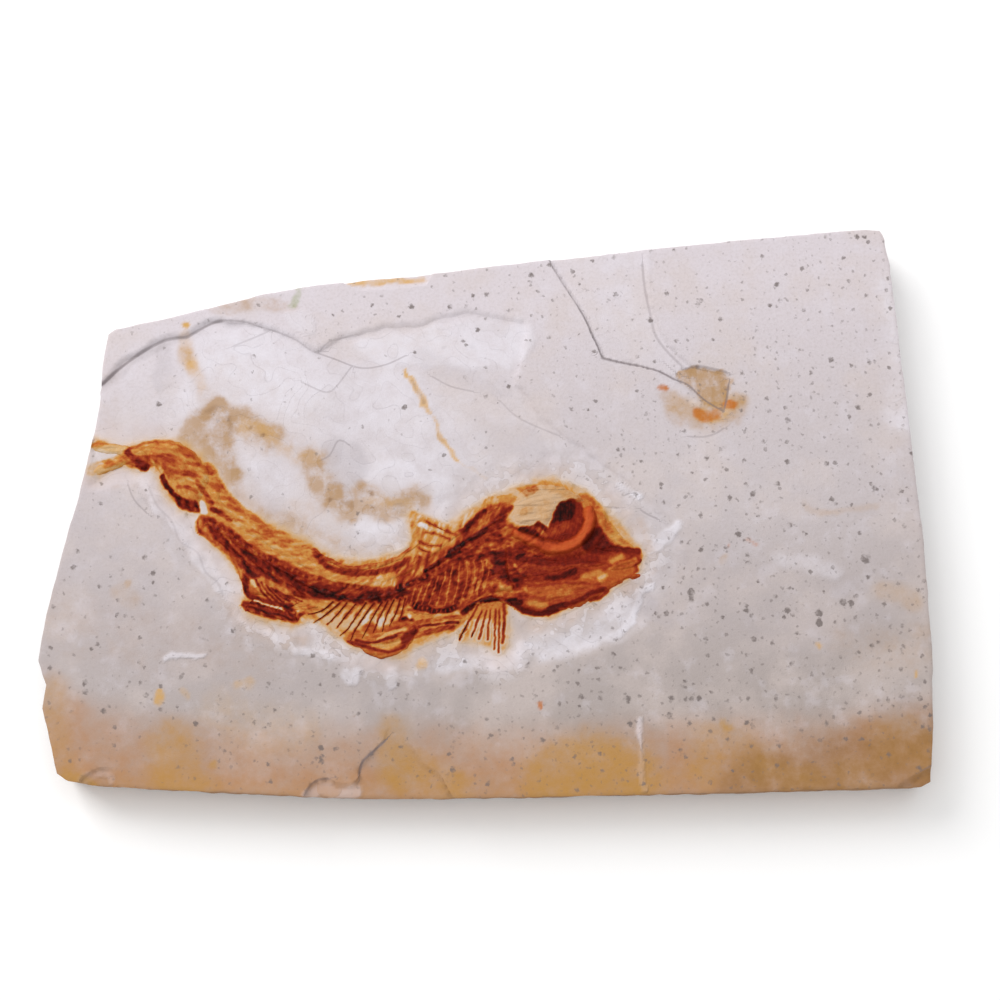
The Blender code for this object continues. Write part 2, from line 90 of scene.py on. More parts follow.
class Paint(Enum):
    """The stains and wear of the bedding face, and a grey that is partly painted shade: each one's colour,
    full share and how broken it is.
    """

    WHITE = ("#ddd8df", 0.9, 2.4)
    GREY_AND_SHADE = ("#aea5a8", 0.9, 2.0)
    BUFF = ("#af7c4f", 0.9, 0.9)
    TAN = ("#ab8456", 0.9, 3.6)
    OCHRE = ("#b3863f", 0.75, 1.6)
    GOLD = ("#cc9a3e", 0.9, 2.0)
    BROWN = ("#8b6640", 0.9, 1.6)
    RUST = ("#b8681a", 0.9, 2.0)
    MOSS = ("#8f9a62", 0.9, 2.0)

    @property
    def attribute(self) -> str:
        """Name the attribute that holds its strength at the vertices."""
        return self.name.lower()


# ------------------------------------------------------------------------------ small helpers
def on_face(places: Places) -> np.ndarray:
    """Find the points of the bedding face that the camera's frame shows at some places.

    Args:
        places: Places in the frame, across and down from its upper left corner, in pairs or in a row.

    Returns:
        One row of X and Y in millimetres for each place.
    """
    seen = np.asarray(places, float).reshape(-1, 2)
    reach = LENS / SENSOR * FRAME_SIDE
    across = (seen[:, 0] - FRAME_SIDE / 2) / reach
    up = (FRAME_SIDE / 2 - seen[:, 1]) / reach
    sin, cos = math.sin(ELEVATION), math.cos(ELEVATION)
    run = DISTANCE * sin / (sin - up * cos)
    return np.stack([AIM[0] + across * run, AIM[1] - DISTANCE * cos + (up * sin + cos) * run], 1)


def smooth_line(points: np.ndarray, step: float, closed: bool = False) -> np.ndarray:
    """Run a Catmull-Rom curve through some points.

    Args:
        points: Rows of X and Y in millimetres.
        step: Spacing of the curve's own points, in millimetres.
        closed: Whether the curve comes back to its first point.

    Returns:
        Rows of X and Y along the curve.
    """
    count = len(points)
    if count < 2:
        return points
    place = (lambda i: i % count) if closed else (lambda i: min(max(i, 0), count - 1))
    runs = []
    for index in range(count if closed else count - 1):
        a, b, c, d = (points[place(index + shift)] for shift in (-1, 0, 1, 2))
        t = np.linspace(0.0, 1.0, max(2, int(np.hypot(*(c - b)) / step) + 1), endpoint=False)[:, None]
        runs.append(0.5 * (2 * b + (c - a) * t + (2 * a - 5 * b + 4 * c - d) * t**2
                           + (3 * b - a - 3 * c + d) * t**3))
    line = np.concatenate(runs)
    return line if closed else np.concatenate([line, points[-1:]])


def curve(places: Places, step: float = 1.0, closed: bool = False) -> np.ndarray:
    """Run a smooth line over the face through places of the camera's frame."""
    return smooth_line(on_face(places), step, closed)


@dataclass
class Reading:
    """How points lie to a line.

    Attributes:
        far: Distance from the line, in millimetres.
        side: 1 on the line's left and -1 on its right.
        run: Length of line passed, in millimetres.
        off: Rows of X and Y from the line's nearest point.
    """

    far: np.ndarray
    side: np.ndarray
    run: np.ndarray
    off: np.ndarray


def measure(xy: np.ndarray, line: np.ndarray, closed: bool = False, reach: float = UNBOUND) -> Reading:
    """Measure how points lie to a line.

    Args:
        xy: Rows of X and Y in millimetres.
        line: The line's own points; a single point is allowed.
        closed: Whether the line joins its ends.
        reach: Points farther than this from the line's box are not measured.

    Returns:
        The reading; points out of reach have a distance of a metre.
    """
    count = len(xy)
    out = Reading(np.full(count, 1.0 / MM), np.ones(count), np.zeros(count), np.ones((count, 2)))
    starts, ends = (line, np.roll(line, -1, 0)) if closed or len(line) == 1 else (line[:-1], line[1:])
    passed = np.concatenate([[0.0], np.cumsum(np.hypot(*(ends - starts).T))])
    near = np.flatnonzero(np.all((xy > line.min(0) - reach) & (xy < line.max(0) + reach), axis=1))
    for first in range(0, len(starts) if len(near) else 0, GROUP):
        group = np.concatenate([starts[first:first + GROUP], ends[first:first + GROUP]])
        spots = xy[near]
        here = near[np.all((spots > group.min(0) - reach) & (spots < group.max(0) + reach), axis=1)]
        spots = xy[here]
        best = Reading(out.far[here], out.side[here], out.run[here], out.off[here])
        for index in range(first, min(first + GROUP, len(starts)) if len(here) else first):
            along = ends[index] - starts[index]
            t = np.clip((spots - starts[index]) @ along / max(along @ along, 1e-12), 0.0, 1.0)
            off = spots - starts[index] - t[:, None] * along
            gap = np.hypot(off[:, 0], off[:, 1])
            closer = gap < best.far
            best.far[closer] = gap[closer]
            best.side[closer] = np.where(along[0] * off[closer, 1] >= along[1] * off[closer, 0], 1.0, -1.0)
            best.run[closer] = passed[index] + t[closer] * (passed[index + 1] - passed[index])
            best.off[closer] = off[closer]
        out.far[here], out.side[here], out.run[here], out.off[here] = best.far, best.side, best.run, best.off
    return out


def depth_inside(xy: np.ndarray, outline: np.ndarray, reach: float = UNBOUND) -> np.ndarray:
    """Measure how deep points lie inside a closed outline; outside it the depth is negative.

    Args:
        xy: Rows of X and Y in millimetres.
        outline: The outline's points.
        reach: Points farther than this from the outline's box are not measured.

    Returns:
        One depth in millimetres for each point.
    """
    far = measure(xy, outline, True, reach).far
    near = np.all((xy > outline.min(0)) & (xy < outline.max(0)), axis=1)
    spots, odd = xy[near], np.zeros(int(near.sum()), bool)
    for (ax, ay), (bx, by) in zip(outline, np.roll(outline, -1, 0)):
        if ay == by:
            continue
        spans = (ay > spots[:, 1]) != (by > spots[:, 1])
        odd ^= spans & (spots[:, 0] < (bx - ax) * (spots[:, 1] - ay) / (by - ay) + ax)
    inside = np.zeros(len(xy), bool)
    inside[near] = odd
    return np.where(inside, far, -far)


def ramp(value: np.ndarray, low: float, high: float) -> np.ndarray:
    """Turn values into a smooth share: 0 at low, 1 at high."""
    t = np.clip((value - low) / (high - low), 0.0, 1.0)
    return t * t * (3.0 - 2.0 * t)


def ripple(xy: np.ndarray, pitch: float, seed: int = 0, octaves: int = 3) -> np.ndarray:
    """Smooth seeded noise from 0 to 1 over the plane.

    Args:
        xy: Rows of X and Y in millimetres.
        pitch: Size of its largest lumps, in millimetres.
        seed: Which noise.
        octaves: How many finer layers it has.

    Returns:
        One value for each point.
    """
    total, weight = np.zeros(len(xy)), 0.0
    for octave in range(octaves):
        spots = xy * 2.0**octave / pitch + seed * 17.31
        cell = np.floor(spots)
        t = spots - cell
        t = t * t * (3.0 - 2.0 * t)

        def lattice(dx: int, dy: int) -> np.ndarray:
            """Hash one corner of each cell to a value from 0 to 1."""
            mixed = np.sin((cell[:, 0] + dx) * 127.1 + (cell[:, 1] + dy) * 311.7 + seed * 74.7) * 43758.5453
            return mixed - np.floor(mixed)

        low = lattice(0, 0) * (1 - t[:, 0]) + lattice(1, 0) * t[:, 0]
        high = lattice(0, 1) * (1 - t[:, 0]) + lattice(1, 1) * t[:, 0]
        total += (low * (1 - t[:, 1]) + high * t[:, 1]) * 0.5**octave
        weight += 0.5**octave
    return total / weight


def warped(xy: np.ndarray, pitch: float, reach: float, seed: int) -> np.ndarray:
    """Push points about by smooth noise, so that what is drawn on them gets ragged edges."""
    push = np.stack([ripple(xy, pitch, seed), ripple(xy, pitch, seed + 1)], 1) - 0.5
    return xy + push * 2.0 * reach


def pushed_out(line: np.ndarray, reach: float) -> np.ndarray:
    """Push a closed line's points outwards.

    Args:
        line: Rows of X and Y in millimetres.
        reach: How far they are pushed.

    Returns:
        The pushed points.
    """
    after, before = np.roll(line, -1, 0), np.roll(line, 1, 0)
    run = after - before
    area = np.sum(line[:, 0] * after[:, 1] - after[:, 0] * line[:, 1])
    outward = np.column_stack([run[:, 1], -run[:, 0]]) * np.sign(area)
    return line + outward / np.maximum(np.hypot(*outward.T), 1e-9)[:, None] * reach


@dataclass(frozen=True)
class Mark:
    """A stain laid along a smooth line or at one place, or filling an outline.

    Attributes:
        places: Where it runs, in the camera's frame.
        width: Width of its full-strength core, in millimetres, or 0 to fill the places' outline.
        soft: How far it takes to fade out, in millimetres.
        strength: How strong it is, from 0 to 1.
        level: The level that it draws what is under it towards.
    """

    places: Places
    width: float
    soft: float
    strength: float = 1.0
    level: float = 1.0

    def mask(self, xy: np.ndarray) -> np.ndarray:
        """Work out the mark's strength at each point.

        Args:
            xy: Rows of X and Y in millimetres.

        Returns:
            One strength for each point.
        """
        line = curve(self.places, 0.8, not self.width)
        reach = self.width + self.soft + 1.0
        if not self.width:
            return self.strength * ramp(depth_inside(xy, line, reach), -self.soft, self.soft * 0.3)
        far = measure(xy, line, False, reach).far
        return self.strength * ramp(-far, -self.width / 2 - self.soft, -self.width / 2)


def lay(xy: np.ndarray, marks: Sequence[Mark], under: np.ndarray | float = 0.0) -> np.ndarray:
    """Lay marks in turn over a level, each over the last.

    Args:
        xy: Rows of X and Y in millimetres.
        marks: The marks, from the lowest up.
        under: The level under them.

    Returns:
        The level that they leave at each point.
    """
    level = np.zeros(len(xy)) + under
    for mark in marks:
        level += (mark.level - level) * mark.mask(xy)
    return level


def positions(mesh: bpy.types.Mesh) -> np.ndarray:
    """Read a mesh's vertices as rows of X, Y and Z in millimetres."""
    flat = np.empty(len(mesh.vertices) * 3)
    mesh.vertices.foreach_get("co", flat)
    return flat.reshape(-1, 3) / MM


def move_to(mesh: bpy.types.Mesh, placed: np.ndarray) -> None:
    """Move a mesh's vertices to rows of X, Y and Z in millimetres."""
    mesh.vertices.foreach_set("co", (placed * MM).ravel())
    mesh.update()


def keep(mesh: bpy.types.Mesh, name: str, values: np.ndarray) -> None:
    """Store one number for each vertex of a mesh, for a material to read."""
    attribute = mesh.attributes.new(name, "FLOAT", "POINT")
    attribute.data.foreach_set("value", values.astype(np.float32))


def keep_place(mesh: bpy.types.Mesh, name: str, xy: np.ndarray) -> None:
    """Store a place of X and Y for each vertex of a mesh, given in millimetres and kept in metres."""
    attribute = mesh.attributes.new(name, "FLOAT_VECTOR", "POINT")
    flat = np.column_stack([xy, np.zeros(len(xy))]) * MM
    attribute.data.foreach_set("vector", flat.astype(np.float32).ravel())


def add_piece(name: str, bm: bmesh.types.BMesh, material: bpy.types.Material) -> bpy.types.Object:
    """Turn a closed bmesh drawn in millimetres into a smooth piece of the object.

    Args:
        name: The piece's name.
        bm: Its shape, which is freed.
        material: Its finish.

    Returns:
        The new object, at the origin.
    """
    bmesh.ops.scale(bm, verts=bm.verts, vec=(MM, MM, MM))
    mesh = bpy.data.meshes.new(name)
    bm.to_mesh(mesh)
    bm.free()
    mesh.shade_smooth()
    mesh.materials.append(material)
    piece = bpy.data.objects.new(name, mesh)
    bpy.context.scene.collection.objects.link(piece)
    return piece


def stand_for(piece: bpy.types.Object, node: str) -> None:
    """Show a piece in place of a CAD node, riding with the plate.

    Args:
        piece: The piece.
        node: The node's name.
    """
    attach(piece, "root")
    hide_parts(node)
    LOG.info("%s: %d faces", piece.name, len(piece.data.polygons))


# ------------------------------------------------------------------------------ finishes
def linear(code: str) -> tuple[float, float, float, float]:
    """Turn an sRGB hex colour into linear values with an alpha of 1."""
    parts = [int(code[start:start + 2], 16) / 255 for start in (1, 3, 5)]
    red, green, blue = (p / 12.92 if p <= 0.04045 else ((p + 0.055) / 1.055) ** 2.4 for p in parts)
    return red, green, blue, 1.0


class MaterialSketch:
    """A material under construction, with the few steps that these finishes repeat."""

    def __init__(self, name: str) -> None:
        """Start an empty material that reads Object coordinates."""
        self.material = bpy.data.materials.new(name)
        self.material.use_nodes = True
        self.material.node_tree.nodes.clear()
        self.place = self.add("TexCoord", take="Object")

    def add(self, kind: str, *first: Setting, take: str | int | None = 0,
            sockets: Mapping[str | int, Setting] | None = None, **fields: Setting) -> Socket | None:
        """Add a node to the material, with its settings and links.

        Args:
            kind: The node's type, without its ShaderNode prefix.
            *first: A value, or the output that feeds it, for each of its first inputs.
            take: The output that is wanted, by name or number, if any.
            sockets: The same for its other inputs, by name or number.
            **fields: The node's own settings.

        Returns:
            The wanted output.
        """
        tree = self.material.node_tree
        made = tree.nodes.new("ShaderNode" + kind)
        for name, value in fields.items():
            setattr(made, name, value)
        for name, value in {**dict(enumerate(first)), **(sockets or {})}.items():
            if isinstance(value, Socket):
                tree.links.new(value, made.inputs[name])
            else:
                made.inputs[name].default_value = value
        return None if take is None else made.outputs[take]

    def lumps(self, size: float, detail: float = 3.0, stretch: tuple[float, float, float] = (1, 1, 1),
              place: Socket | None = None) -> Socket:
        """Give noise whose lumps are some millimetres across.

        Args:
            size: Size of the lumps.
            detail: How many finer layers they have.
            stretch: Scale along X, Y and Z before the noise is read.
            place: What the noise is read at, where it isn't the object's own place.

        Returns:
            The noise's value.
        """
        spot = self.add("VectorMath", place or self.place, stretch, operation="MULTIPLY")
        return self.add("TexNoise", sockets={"Vector": spot, "Scale": 1.0 / (size * MM), "Detail": detail,
                                             "Roughness": 0.6})

    def share(self, value: Socket, low: float, high: float, top: float = 1.0,
              within: Setting = 1.0) -> Socket:
        """Turn a value into a smooth share, cut down to a mask.

        Args:
            value: What the share follows.
            low: Where the share is 0.
            high: Where the share is full.
            top: The full share.
            within: The mask.

        Returns:
            The share.
        """
        made = self.add("MapRange", value, low, high, 0.0, top, interpolation_type="SMOOTHSTEP")
        return self.add("Math", made, within, operation="MULTIPLY")

    def wash(self, under: Socket, code: str, value: Socket, low: float, high: float, top: float = 1.0,
             within: Setting = 1.0) -> Socket:
        """Lay a colour over what is there by a smooth share, cut down to a mask.

        Args:
            under: The colour so far.
            code: The colour that is laid over it, as a hex value.
            value: What the share follows.
            low: Where the share is 0.
            high: Where the share is full.
            top: The full share.
            within: The mask.

        Returns:
            The new colour.
        """
        return self.add("Mix", self.share(value, low, high, top, within), take=2, data_type="RGBA",
                        sockets={6: under, 7: linear(code)})

    def iron(self, spread: float) -> tuple[Socket, Socket]:
        """Work out the iron at each place, streaked along the grain and mottled.

        Args:
            spread: How strongly the streaks and mottles change it.

        Returns:
            The iron's level, and the streaks alone.
        """
        grain = self.add("CombineXYZ", *(self.add("Attribute", take="Fac", attribute_name=way)
                                         for way in ("along", "across")))
        streak = self.lumps(0.36, 3.0, (0.40, 1.0, 1.0), grain)
        mixed = self.add("Math", self.lumps(0.8, 5.0), 0.65,
                         self.add("Math", streak, 0.35, operation="MULTIPLY"), operation="MULTIPLY_ADD")
        soaked = self.add("Attribute", take="Fac", attribute_name="iron")
        centred = self.add("Math", mixed, 0.5, operation="SUBTRACT")
        change = self.add("Math", centred, spread, operation="MULTIPLY")
        room = self.share(soaked, 0.03, 0.40, 0.30)
        return self.add("Math", change, room, soaked, operation="MULTIPLY_ADD"), streak

    def rusted(self, iron: Socket, stops: Sequence[tuple[float, str]]) -> Socket:
        """Colour iron by how much of it there is.

        Args:
            iron: Its level.
            stops: A row of levels, each with its hex colour.

        Returns:
            The colour.
        """
        made = self.add("ValToRGB", iron)
        elements = made.node.color_ramp.elements
        for level, _ in stops[1:-1]:
            elements.new(level)
        for element, (level, code) in zip(elements, stops):
            element.position, element.color = level, linear(code)
        return made

    def finish(self, colour: Socket, roughness: Socket, height: Socket, depth: float,
               specular: float, coat: float = 0.0) -> bpy.types.Material:
        """Close the material with a Principled shader.

        Args:
            colour: Its colour.
            roughness: Its roughness.
            height: The fine relief, from 0 to 1.
            depth: How deep the relief is, in millimetres.
            specular: Specular level, set on the shader.
            coat: Weight of a clear coat, set on the shader.

        Returns:
            The finished material.
        """
        relief = self.add("Bump", sockets={"Height": height, "Distance": depth * MM, "Strength": 1.0})
        shader = self.add("BsdfPrincipled", sockets={
            "Base Color": colour, "Roughness": roughness, "Normal": relief,
            "Specular IOR Level": specular, "Coat Weight": coat, "Coat Roughness": 0.25})
        self.add("OutputMaterial", shader, take=None)
        return self.material


# How iron colours what it soaks: bare at 0, through gold, amber and red, to near black at 1
IRON_STOPS = ((0.0, "#d4c3b2"), (0.10, "#caa87a"), (0.20, "#c18740"), (0.34, "#ae5823"), (0.48, "#953517"),
              (0.62, "#791d0d"), (0.78, "#540f06"), (0.92, "#2e0703"), (1.0, "#190403"))
# The eye ring's glowing orange
EMBER_STOPS = ((0.0, "#cb9060"), (0.2, "#c2602c"), (0.36, "#b54b22"), (0.5, "#9e3818"), (0.7, "#70200d"),
               (1.0, "#2c0804"))
# The crust on the skull roof, beige rather than gold where the iron is thin
CRUST_STOPS = ((0.0, "#cfc0b0"), (0.12, "#c6a481"), (0.24, "#bd8f5e"), (0.38, "#a9602c"), (0.5, "#8e3a1a"),
               (0.64, "#721b0c"), (0.8, "#4a0d05"), (1.0, "#190403"))


@dataclass(frozen=True)
class Limestone:
    """Split lithographic limestone: dense and matt, so its stains and specks are all that breaks it.

    Attributes:
        cool: The stone's pale grey at the far side.
        near_painted_shade: A darker, warmer grey towards the near side: painted shade for the light falling
            off.
        blush: Wide pinkish patches.
        grit: The fine dark grain.
        bloom: Pale dapples a few millimetres across.
        bed: The darker beds that show in the broken sides.
        pale: Flakes that broke off clean.
        dull: Flakes that kept their skin.
        speck: Mineral specks.
        crack_and_shade: The dark of cracks, and of the painted shade at the foot of ledges and along flake
            edges.
        flakes: Where flakes lie: the mask, their size in millimetres, how many levels they break
            into, and how strong the painted shade along their edges and their own tones are.
        dust: The specks in cells: cell and speck size in millimetres, how many cells have one, and
            how dark they are.
        specks: The large specks: place in the camera's frame, and radius in millimetres.
    """

    cool: str = "#d3cacf"
    near_painted_shade: str = "#a99e9a"
    blush: str = "#cdbfba"
    grit: str = "#a59994"
    bloom: str = "#dcd6df"
    bed: str = "#a9957f"
    pale: str = "#e6e2ea"
    dull: str = "#bdb3b1"
    speck: str = "#716764"
    crack_and_shade: str = "#7d7274"
    flakes: tuple[tuple[str, float, float, float, float], ...] = (
        ("white", 13.0, 13.0, 0.25, 0.24), ("chiselled", 3.4, 9.0, 0.40, 0.34))
    dust: tuple[tuple[float, float, float, float], ...] = (
        (1.1, 0.15, 0.40, 0.40), (1.9, 0.23, 0.38, 0.6), (3.6, 0.34, 0.44, 0.85), (7.0, 0.45, 0.45, 1.0))
    specks: tuple[tuple[float, float, float], ...] = ()

    def make(self) -> bpy.types.Material:
        """Build the material: plain stone with painted shade towards the near side, its stains, flakes,
        specks, cracks and iron, in turn.

        Returns:
            The material.
        """
        sketch = MaterialSketch("split_limestone")
        fine = sketch.lumps(0.5, 4.0)
        lower, side, cracked, dark = (sketch.add("Attribute", take="Fac", attribute_name=name)
                                      for name in ("lower", "side", "crack_and_shade", "crack_and_shade_strength"))
        # Painted shade: the stone goes from cool at the far side to near_painted_shade towards the near side
        # and the right, standing in for the light falling off across the plate
        colour = sketch.add("Mix", lower, take=2, data_type="RGBA",
                            sockets={6: linear(self.cool), 7: linear(self.near_painted_shade)})
        colour = sketch.wash(colour, self.blush, sketch.lumps(11.0, 5.0), 0.42, 0.66, 0.45)
        colour = sketch.wash(colour, self.grit, fine, 0.4, 0.8, 0.25)
        colour = sketch.wash(colour, self.bloom, sketch.lumps(3.4, 4.0), 0.5, 0.7, 0.20)
        beds = sketch.lumps(0.55, 4.0, (0.03, 0.03, 1.0))
        colour = sketch.wash(colour, self.bed, beds, 0.42, 0.66, 0.55, side)
        broken = sketch.add("Math", sketch.lumps(2.6, 7.0), 0.5, operation="SUBTRACT")
        for paint in Paint:
            code, top, swing = paint.value
            strength = sketch.add("Attribute", take="Fac", attribute_name=paint.attribute)
            change = sketch.add("Math", broken, swing, operation="MULTIPLY")
            ragged = sketch.add("Math", change, strength, strength, operation="MULTIPLY_ADD")
            colour = sketch.wash(colour, code, ragged, 0.0, 1.2, top)
        colour, steps = self.flaked(sketch, colour)
        crack_and_shade = sketch.share(sketch.add("Math", cracked, operation="ABSOLUTE"), 0.60, 0.10, within=dark)
        for share, code in ((self.specked(sketch), self.speck), (crack_and_shade, self.crack_and_shade)):
            colour = sketch.add("Mix", share, take=2, data_type="RGBA", sockets={6: colour, 7: linear(code)})
        iron, streak = sketch.iron(2.4)
        colour = sketch.add("Mix", sketch.share(iron, 0.0, 0.20), take=2, data_type="RGBA",
                            sockets={6: colour, 7: sketch.rusted(iron, IRON_STOPS)})
        relief = sketch.add("Math", fine, sketch.lumps(0.16, 2.0), operation="ADD")
        relief = sketch.add("Math", relief, crack_and_shade, operation="SUBTRACT")
        soaked = sketch.add("Math", streak, iron, operation="MULTIPLY")
        for height, weight in ((soaked, 2.0), (steps, 1.6)):
            relief = sketch.add("Math", height, weight, relief, operation="MULTIPLY_ADD")
        rough = sketch.add("Math", fine, 0.25, 0.62, operation="MULTIPLY_ADD")
        return sketch.finish(colour, rough, relief, 0.05, 0.1)

    def flaked(self, sketch: MaterialSketch, colour: Socket) -> tuple[Socket, Socket]:
        """Break the cleared stone into thin shell-shaped flakes, small where it was chiselled.

        Args:
            sketch: The material that it is for.
            colour: The stone's colour so far.

        Returns:
            The colour with each flake's own tone and a painted shade along its edge, and the flakes' heights.
        """
        steps: Setting = 0.0
        for mask, size, count, dark, tone in self.flakes:
            height = sketch.add("Math", sketch.lumps(size, 2.0), count, operation="MULTIPLY")
            level, rest = (sketch.add("Math", height, operation=part) for part in ("FLOOR", "FRACT"))
            luck = sketch.add("TexWhiteNoise", take="Color", sockets={"W": level}, noise_dimensions="1D")
            where = sketch.add("Attribute", take="Fac", attribute_name=mask)
            for channel, code, top in ((0, self.pale, tone), (1, self.dull, tone * 0.7)):
                chance = sketch.add("SeparateColor", luck, take=channel)
                colour = sketch.wash(colour, code, chance, 0.4, 0.8, top, where)
            # Painted shade along one side of each flake's edge
            rim = sketch.share(sketch.lumps(5.0), 0.4, 0.6, within=where)
            colour = sketch.wash(colour, self.crack_and_shade, rest, 0.10, 0.0, dark, rim)
            lift = sketch.add("Math", where, 0.5, operation="MULTIPLY")
            steps = sketch.add("Math", level, lift, steps, operation="MULTIPLY_ADD")
        return colour, steps

    def specked(self, sketch: MaterialSketch) -> Socket:
        """Scatter dark mineral specks: fine dust by cells, and the large ones where they lie.

        Args:
            sketch: The material that it is for.

        Returns:
            How dark the specks are at each place.
        """
        wobble = sketch.add("TexNoise", take="Color", sockets={
            "Vector": sketch.place, "Scale": 1.0 / (0.5 * MM), "Detail": 2.0})
        centred = sketch.add("VectorMath", wobble, (0.5, 0.5, 0.5), operation="SUBTRACT")
        unrolled = sketch.add("Attribute", take="Vector", attribute_name="unrolled")
        flat = sketch.add("VectorMath", centred, (0.9 * MM, 0.9 * MM, 0.0), unrolled,
                          operation="MULTIPLY_ADD")
        density = sketch.add("Attribute", take="Fac", attribute_name="speckled")
        found: Setting = 0.0
        for pitch, size, share, strength in self.dust:
            far = sketch.add("TexVoronoi", take="Distance", voronoi_dimensions="2D", sockets={
                "Vector": flat, "Scale": 1.0 / (pitch * MM), "Randomness": 1.0})
            chance = sketch.add("SeparateColor", far.node.outputs["Color"])
            wanted = sketch.add("Math", density, share, operation="MULTIPLY")
            lucky = sketch.add("Math", chance, wanted, operation="LESS_THAN")
            spot = sketch.share(far, size / pitch * 1.35, size / pitch * 0.6, strength, lucky)
            found = sketch.add("Math", found, spot, operation="MAXIMUM")
        gap: Setting = 1.0
        for across, down, radius in self.specks:
            x, y = on_face((across, down))[0] * MM
            reach = sketch.add("VectorMath", flat, (x, y, 0.0), take="Value", operation="DISTANCE")
            edge = sketch.add("Math", reach, radius * MM, operation="SUBTRACT")
            gap = sketch.add("Math", gap, edge, operation="MINIMUM")
        both = sketch.add("Math", found, sketch.share(gap, 0.14 * MM, -0.16 * MM), operation="MAXIMUM")
        return sketch.share(sketch.lumps(1.2, 2.0), 0.25, 0.6, 0.85, both)


@dataclass(frozen=True)
class StainedBone:
    """Fossil bone soaked with iron: hard and faintly glossy, streaked along its grain.

    Attributes:
        name: The material's name.
        shift: How much more iron it took up than what lies round it.
        spread: How strongly its streaks and mottles change the iron.
        roughness: Its middle roughness.
        coat: Weight of the gloss of polished bone.
        stops: How the iron colours it.
    """

    name: str
    shift: float
    spread: float
    roughness: float = 0.5
    coat: float = 0.0
    stops: tuple[tuple[float, str], ...] = IRON_STOPS

    def make(self) -> bpy.types.Material:
        """Build the material: iron, a little darker near the rim and worn off in fine dots.

        Returns:
            The material.
        """
        sketch = MaterialSketch(self.name)
        level, streak = sketch.iron(self.spread)
        fine = sketch.lumps(0.22, 3.0)
        # A little darker within 0.4 mm of the rim, where the bone meets the stone
        rim = sketch.share(sketch.add("Attribute", take="Fac", attribute_name="rim"), 0.4, 0.0, 0.05)
        worn = sketch.share(fine, 0.55, 0.8, 0.12)
        for operation, change in (("ADD", self.shift), ("ADD", rim), ("SUBTRACT", worn)):
            level = sketch.add("Math", level, change, operation=operation)
        relief = sketch.add("Math", fine, 0.5, streak, operation="MULTIPLY_ADD")
        rough = sketch.add("Math", fine, 0.3, self.roughness - 0.15, operation="MULTIPLY_ADD")
        return sketch.finish(sketch.rusted(level, self.stops), rough, relief, 0.12, 0.07, self.coat)


# ------------------------------------------------------------------------------ marks on the stone
# Places run across and down the camera's frame of 1000 by 1000, one pair after the other
CLEARED = (92, 392, 103, 381, 111, 374, 121, 364, 131, 355, 145, 348, 155, 341, 166, 337, 182, 335, 195, 328,
           208, 322, 223, 319.5, 243, 322, 264, 327, 279, 332, 297, 340, 315, 351, 335, 341, 355, 333,
           403, 326, 466, 313, 527, 321, 526, 342, 516, 385, 545, 420, 590, 455, 625, 480, 652, 505,
           676, 540, 676, 570, 655, 610, 625, 640, 575, 655, 530, 668, 470, 668, 440, 676, 400, 674,
           350, 664, 310, 650, 262, 634, 236, 614, 222, 592, 205, 566, 182, 538, 160, 508, 148, 484,
           124, 482, 92, 484)
FISH = (94, 440, 108, 442, 124, 447, 136, 443, 152, 441, 170, 441, 186, 446, 200, 457, 212, 473, 222, 492,
        240, 508, 262, 520, 285, 532, 305, 541, 319, 547, 331, 556, 352, 561, 375, 560, 394, 554, 409, 546,
        413, 532, 411, 516, 420, 517, 440, 526, 454, 523, 468, 511, 488, 499, 505, 492, 525, 485, 545, 480,
        565, 483, 580, 490, 592, 500, 602, 508, 614, 518, 626, 530, 634, 544, 640, 551, 636, 570, 622, 580,
        606, 591, 582, 602, 562, 611, 544, 616, 526, 613, 512, 605, 506, 608, 506, 640, 498, 652, 478, 640,
        458, 638, 464, 622, 455, 629, 430, 640, 412, 648, 396, 655, 376, 652, 352, 645, 340, 637, 326, 626,
        312, 618, 300, 621, 292, 623, 270, 619, 248, 612, 243, 601, 246, 591, 240, 576, 226, 556, 210, 541,
        202, 530, 198, 514, 182, 508, 168, 495, 157, 474, 148, 468, 136, 468, 124, 463, 110, 466, 94, 474)
STRIP = (546, 240, 549, 256, 551, 265, 584, 316, 602, 358, 639, 366, 658, 371, 674, 379, 702, 399, 723, 411,
         728, 399, 728, 376, 712, 371, 690, 366, 680, 357, 664, 338, 651, 312, 645, 284, 643, 240)
NEAR_CHIP = (300, 812, 304, 796, 310, 785, 319, 779, 328, 779, 336, 784, 344, 786, 354, 783, 359, 776,
             358, 768, 361, 763, 371, 753, 385, 740, 388, 730, 402, 728, 415, 752, 424, 765, 440, 775,
             452, 797, 456, 812)
TAIL_CHIP = (66, 806, 80, 778, 96, 768, 110, 768, 114, 778, 112, 806)
SNOUT_CHIP = (892, 806, 900, 786, 914, 776, 944, 764, 944, 806)
FAR_CHIP = (340, 270, 344, 284, 362, 290, 396, 288, 426, 284, 436, 266)
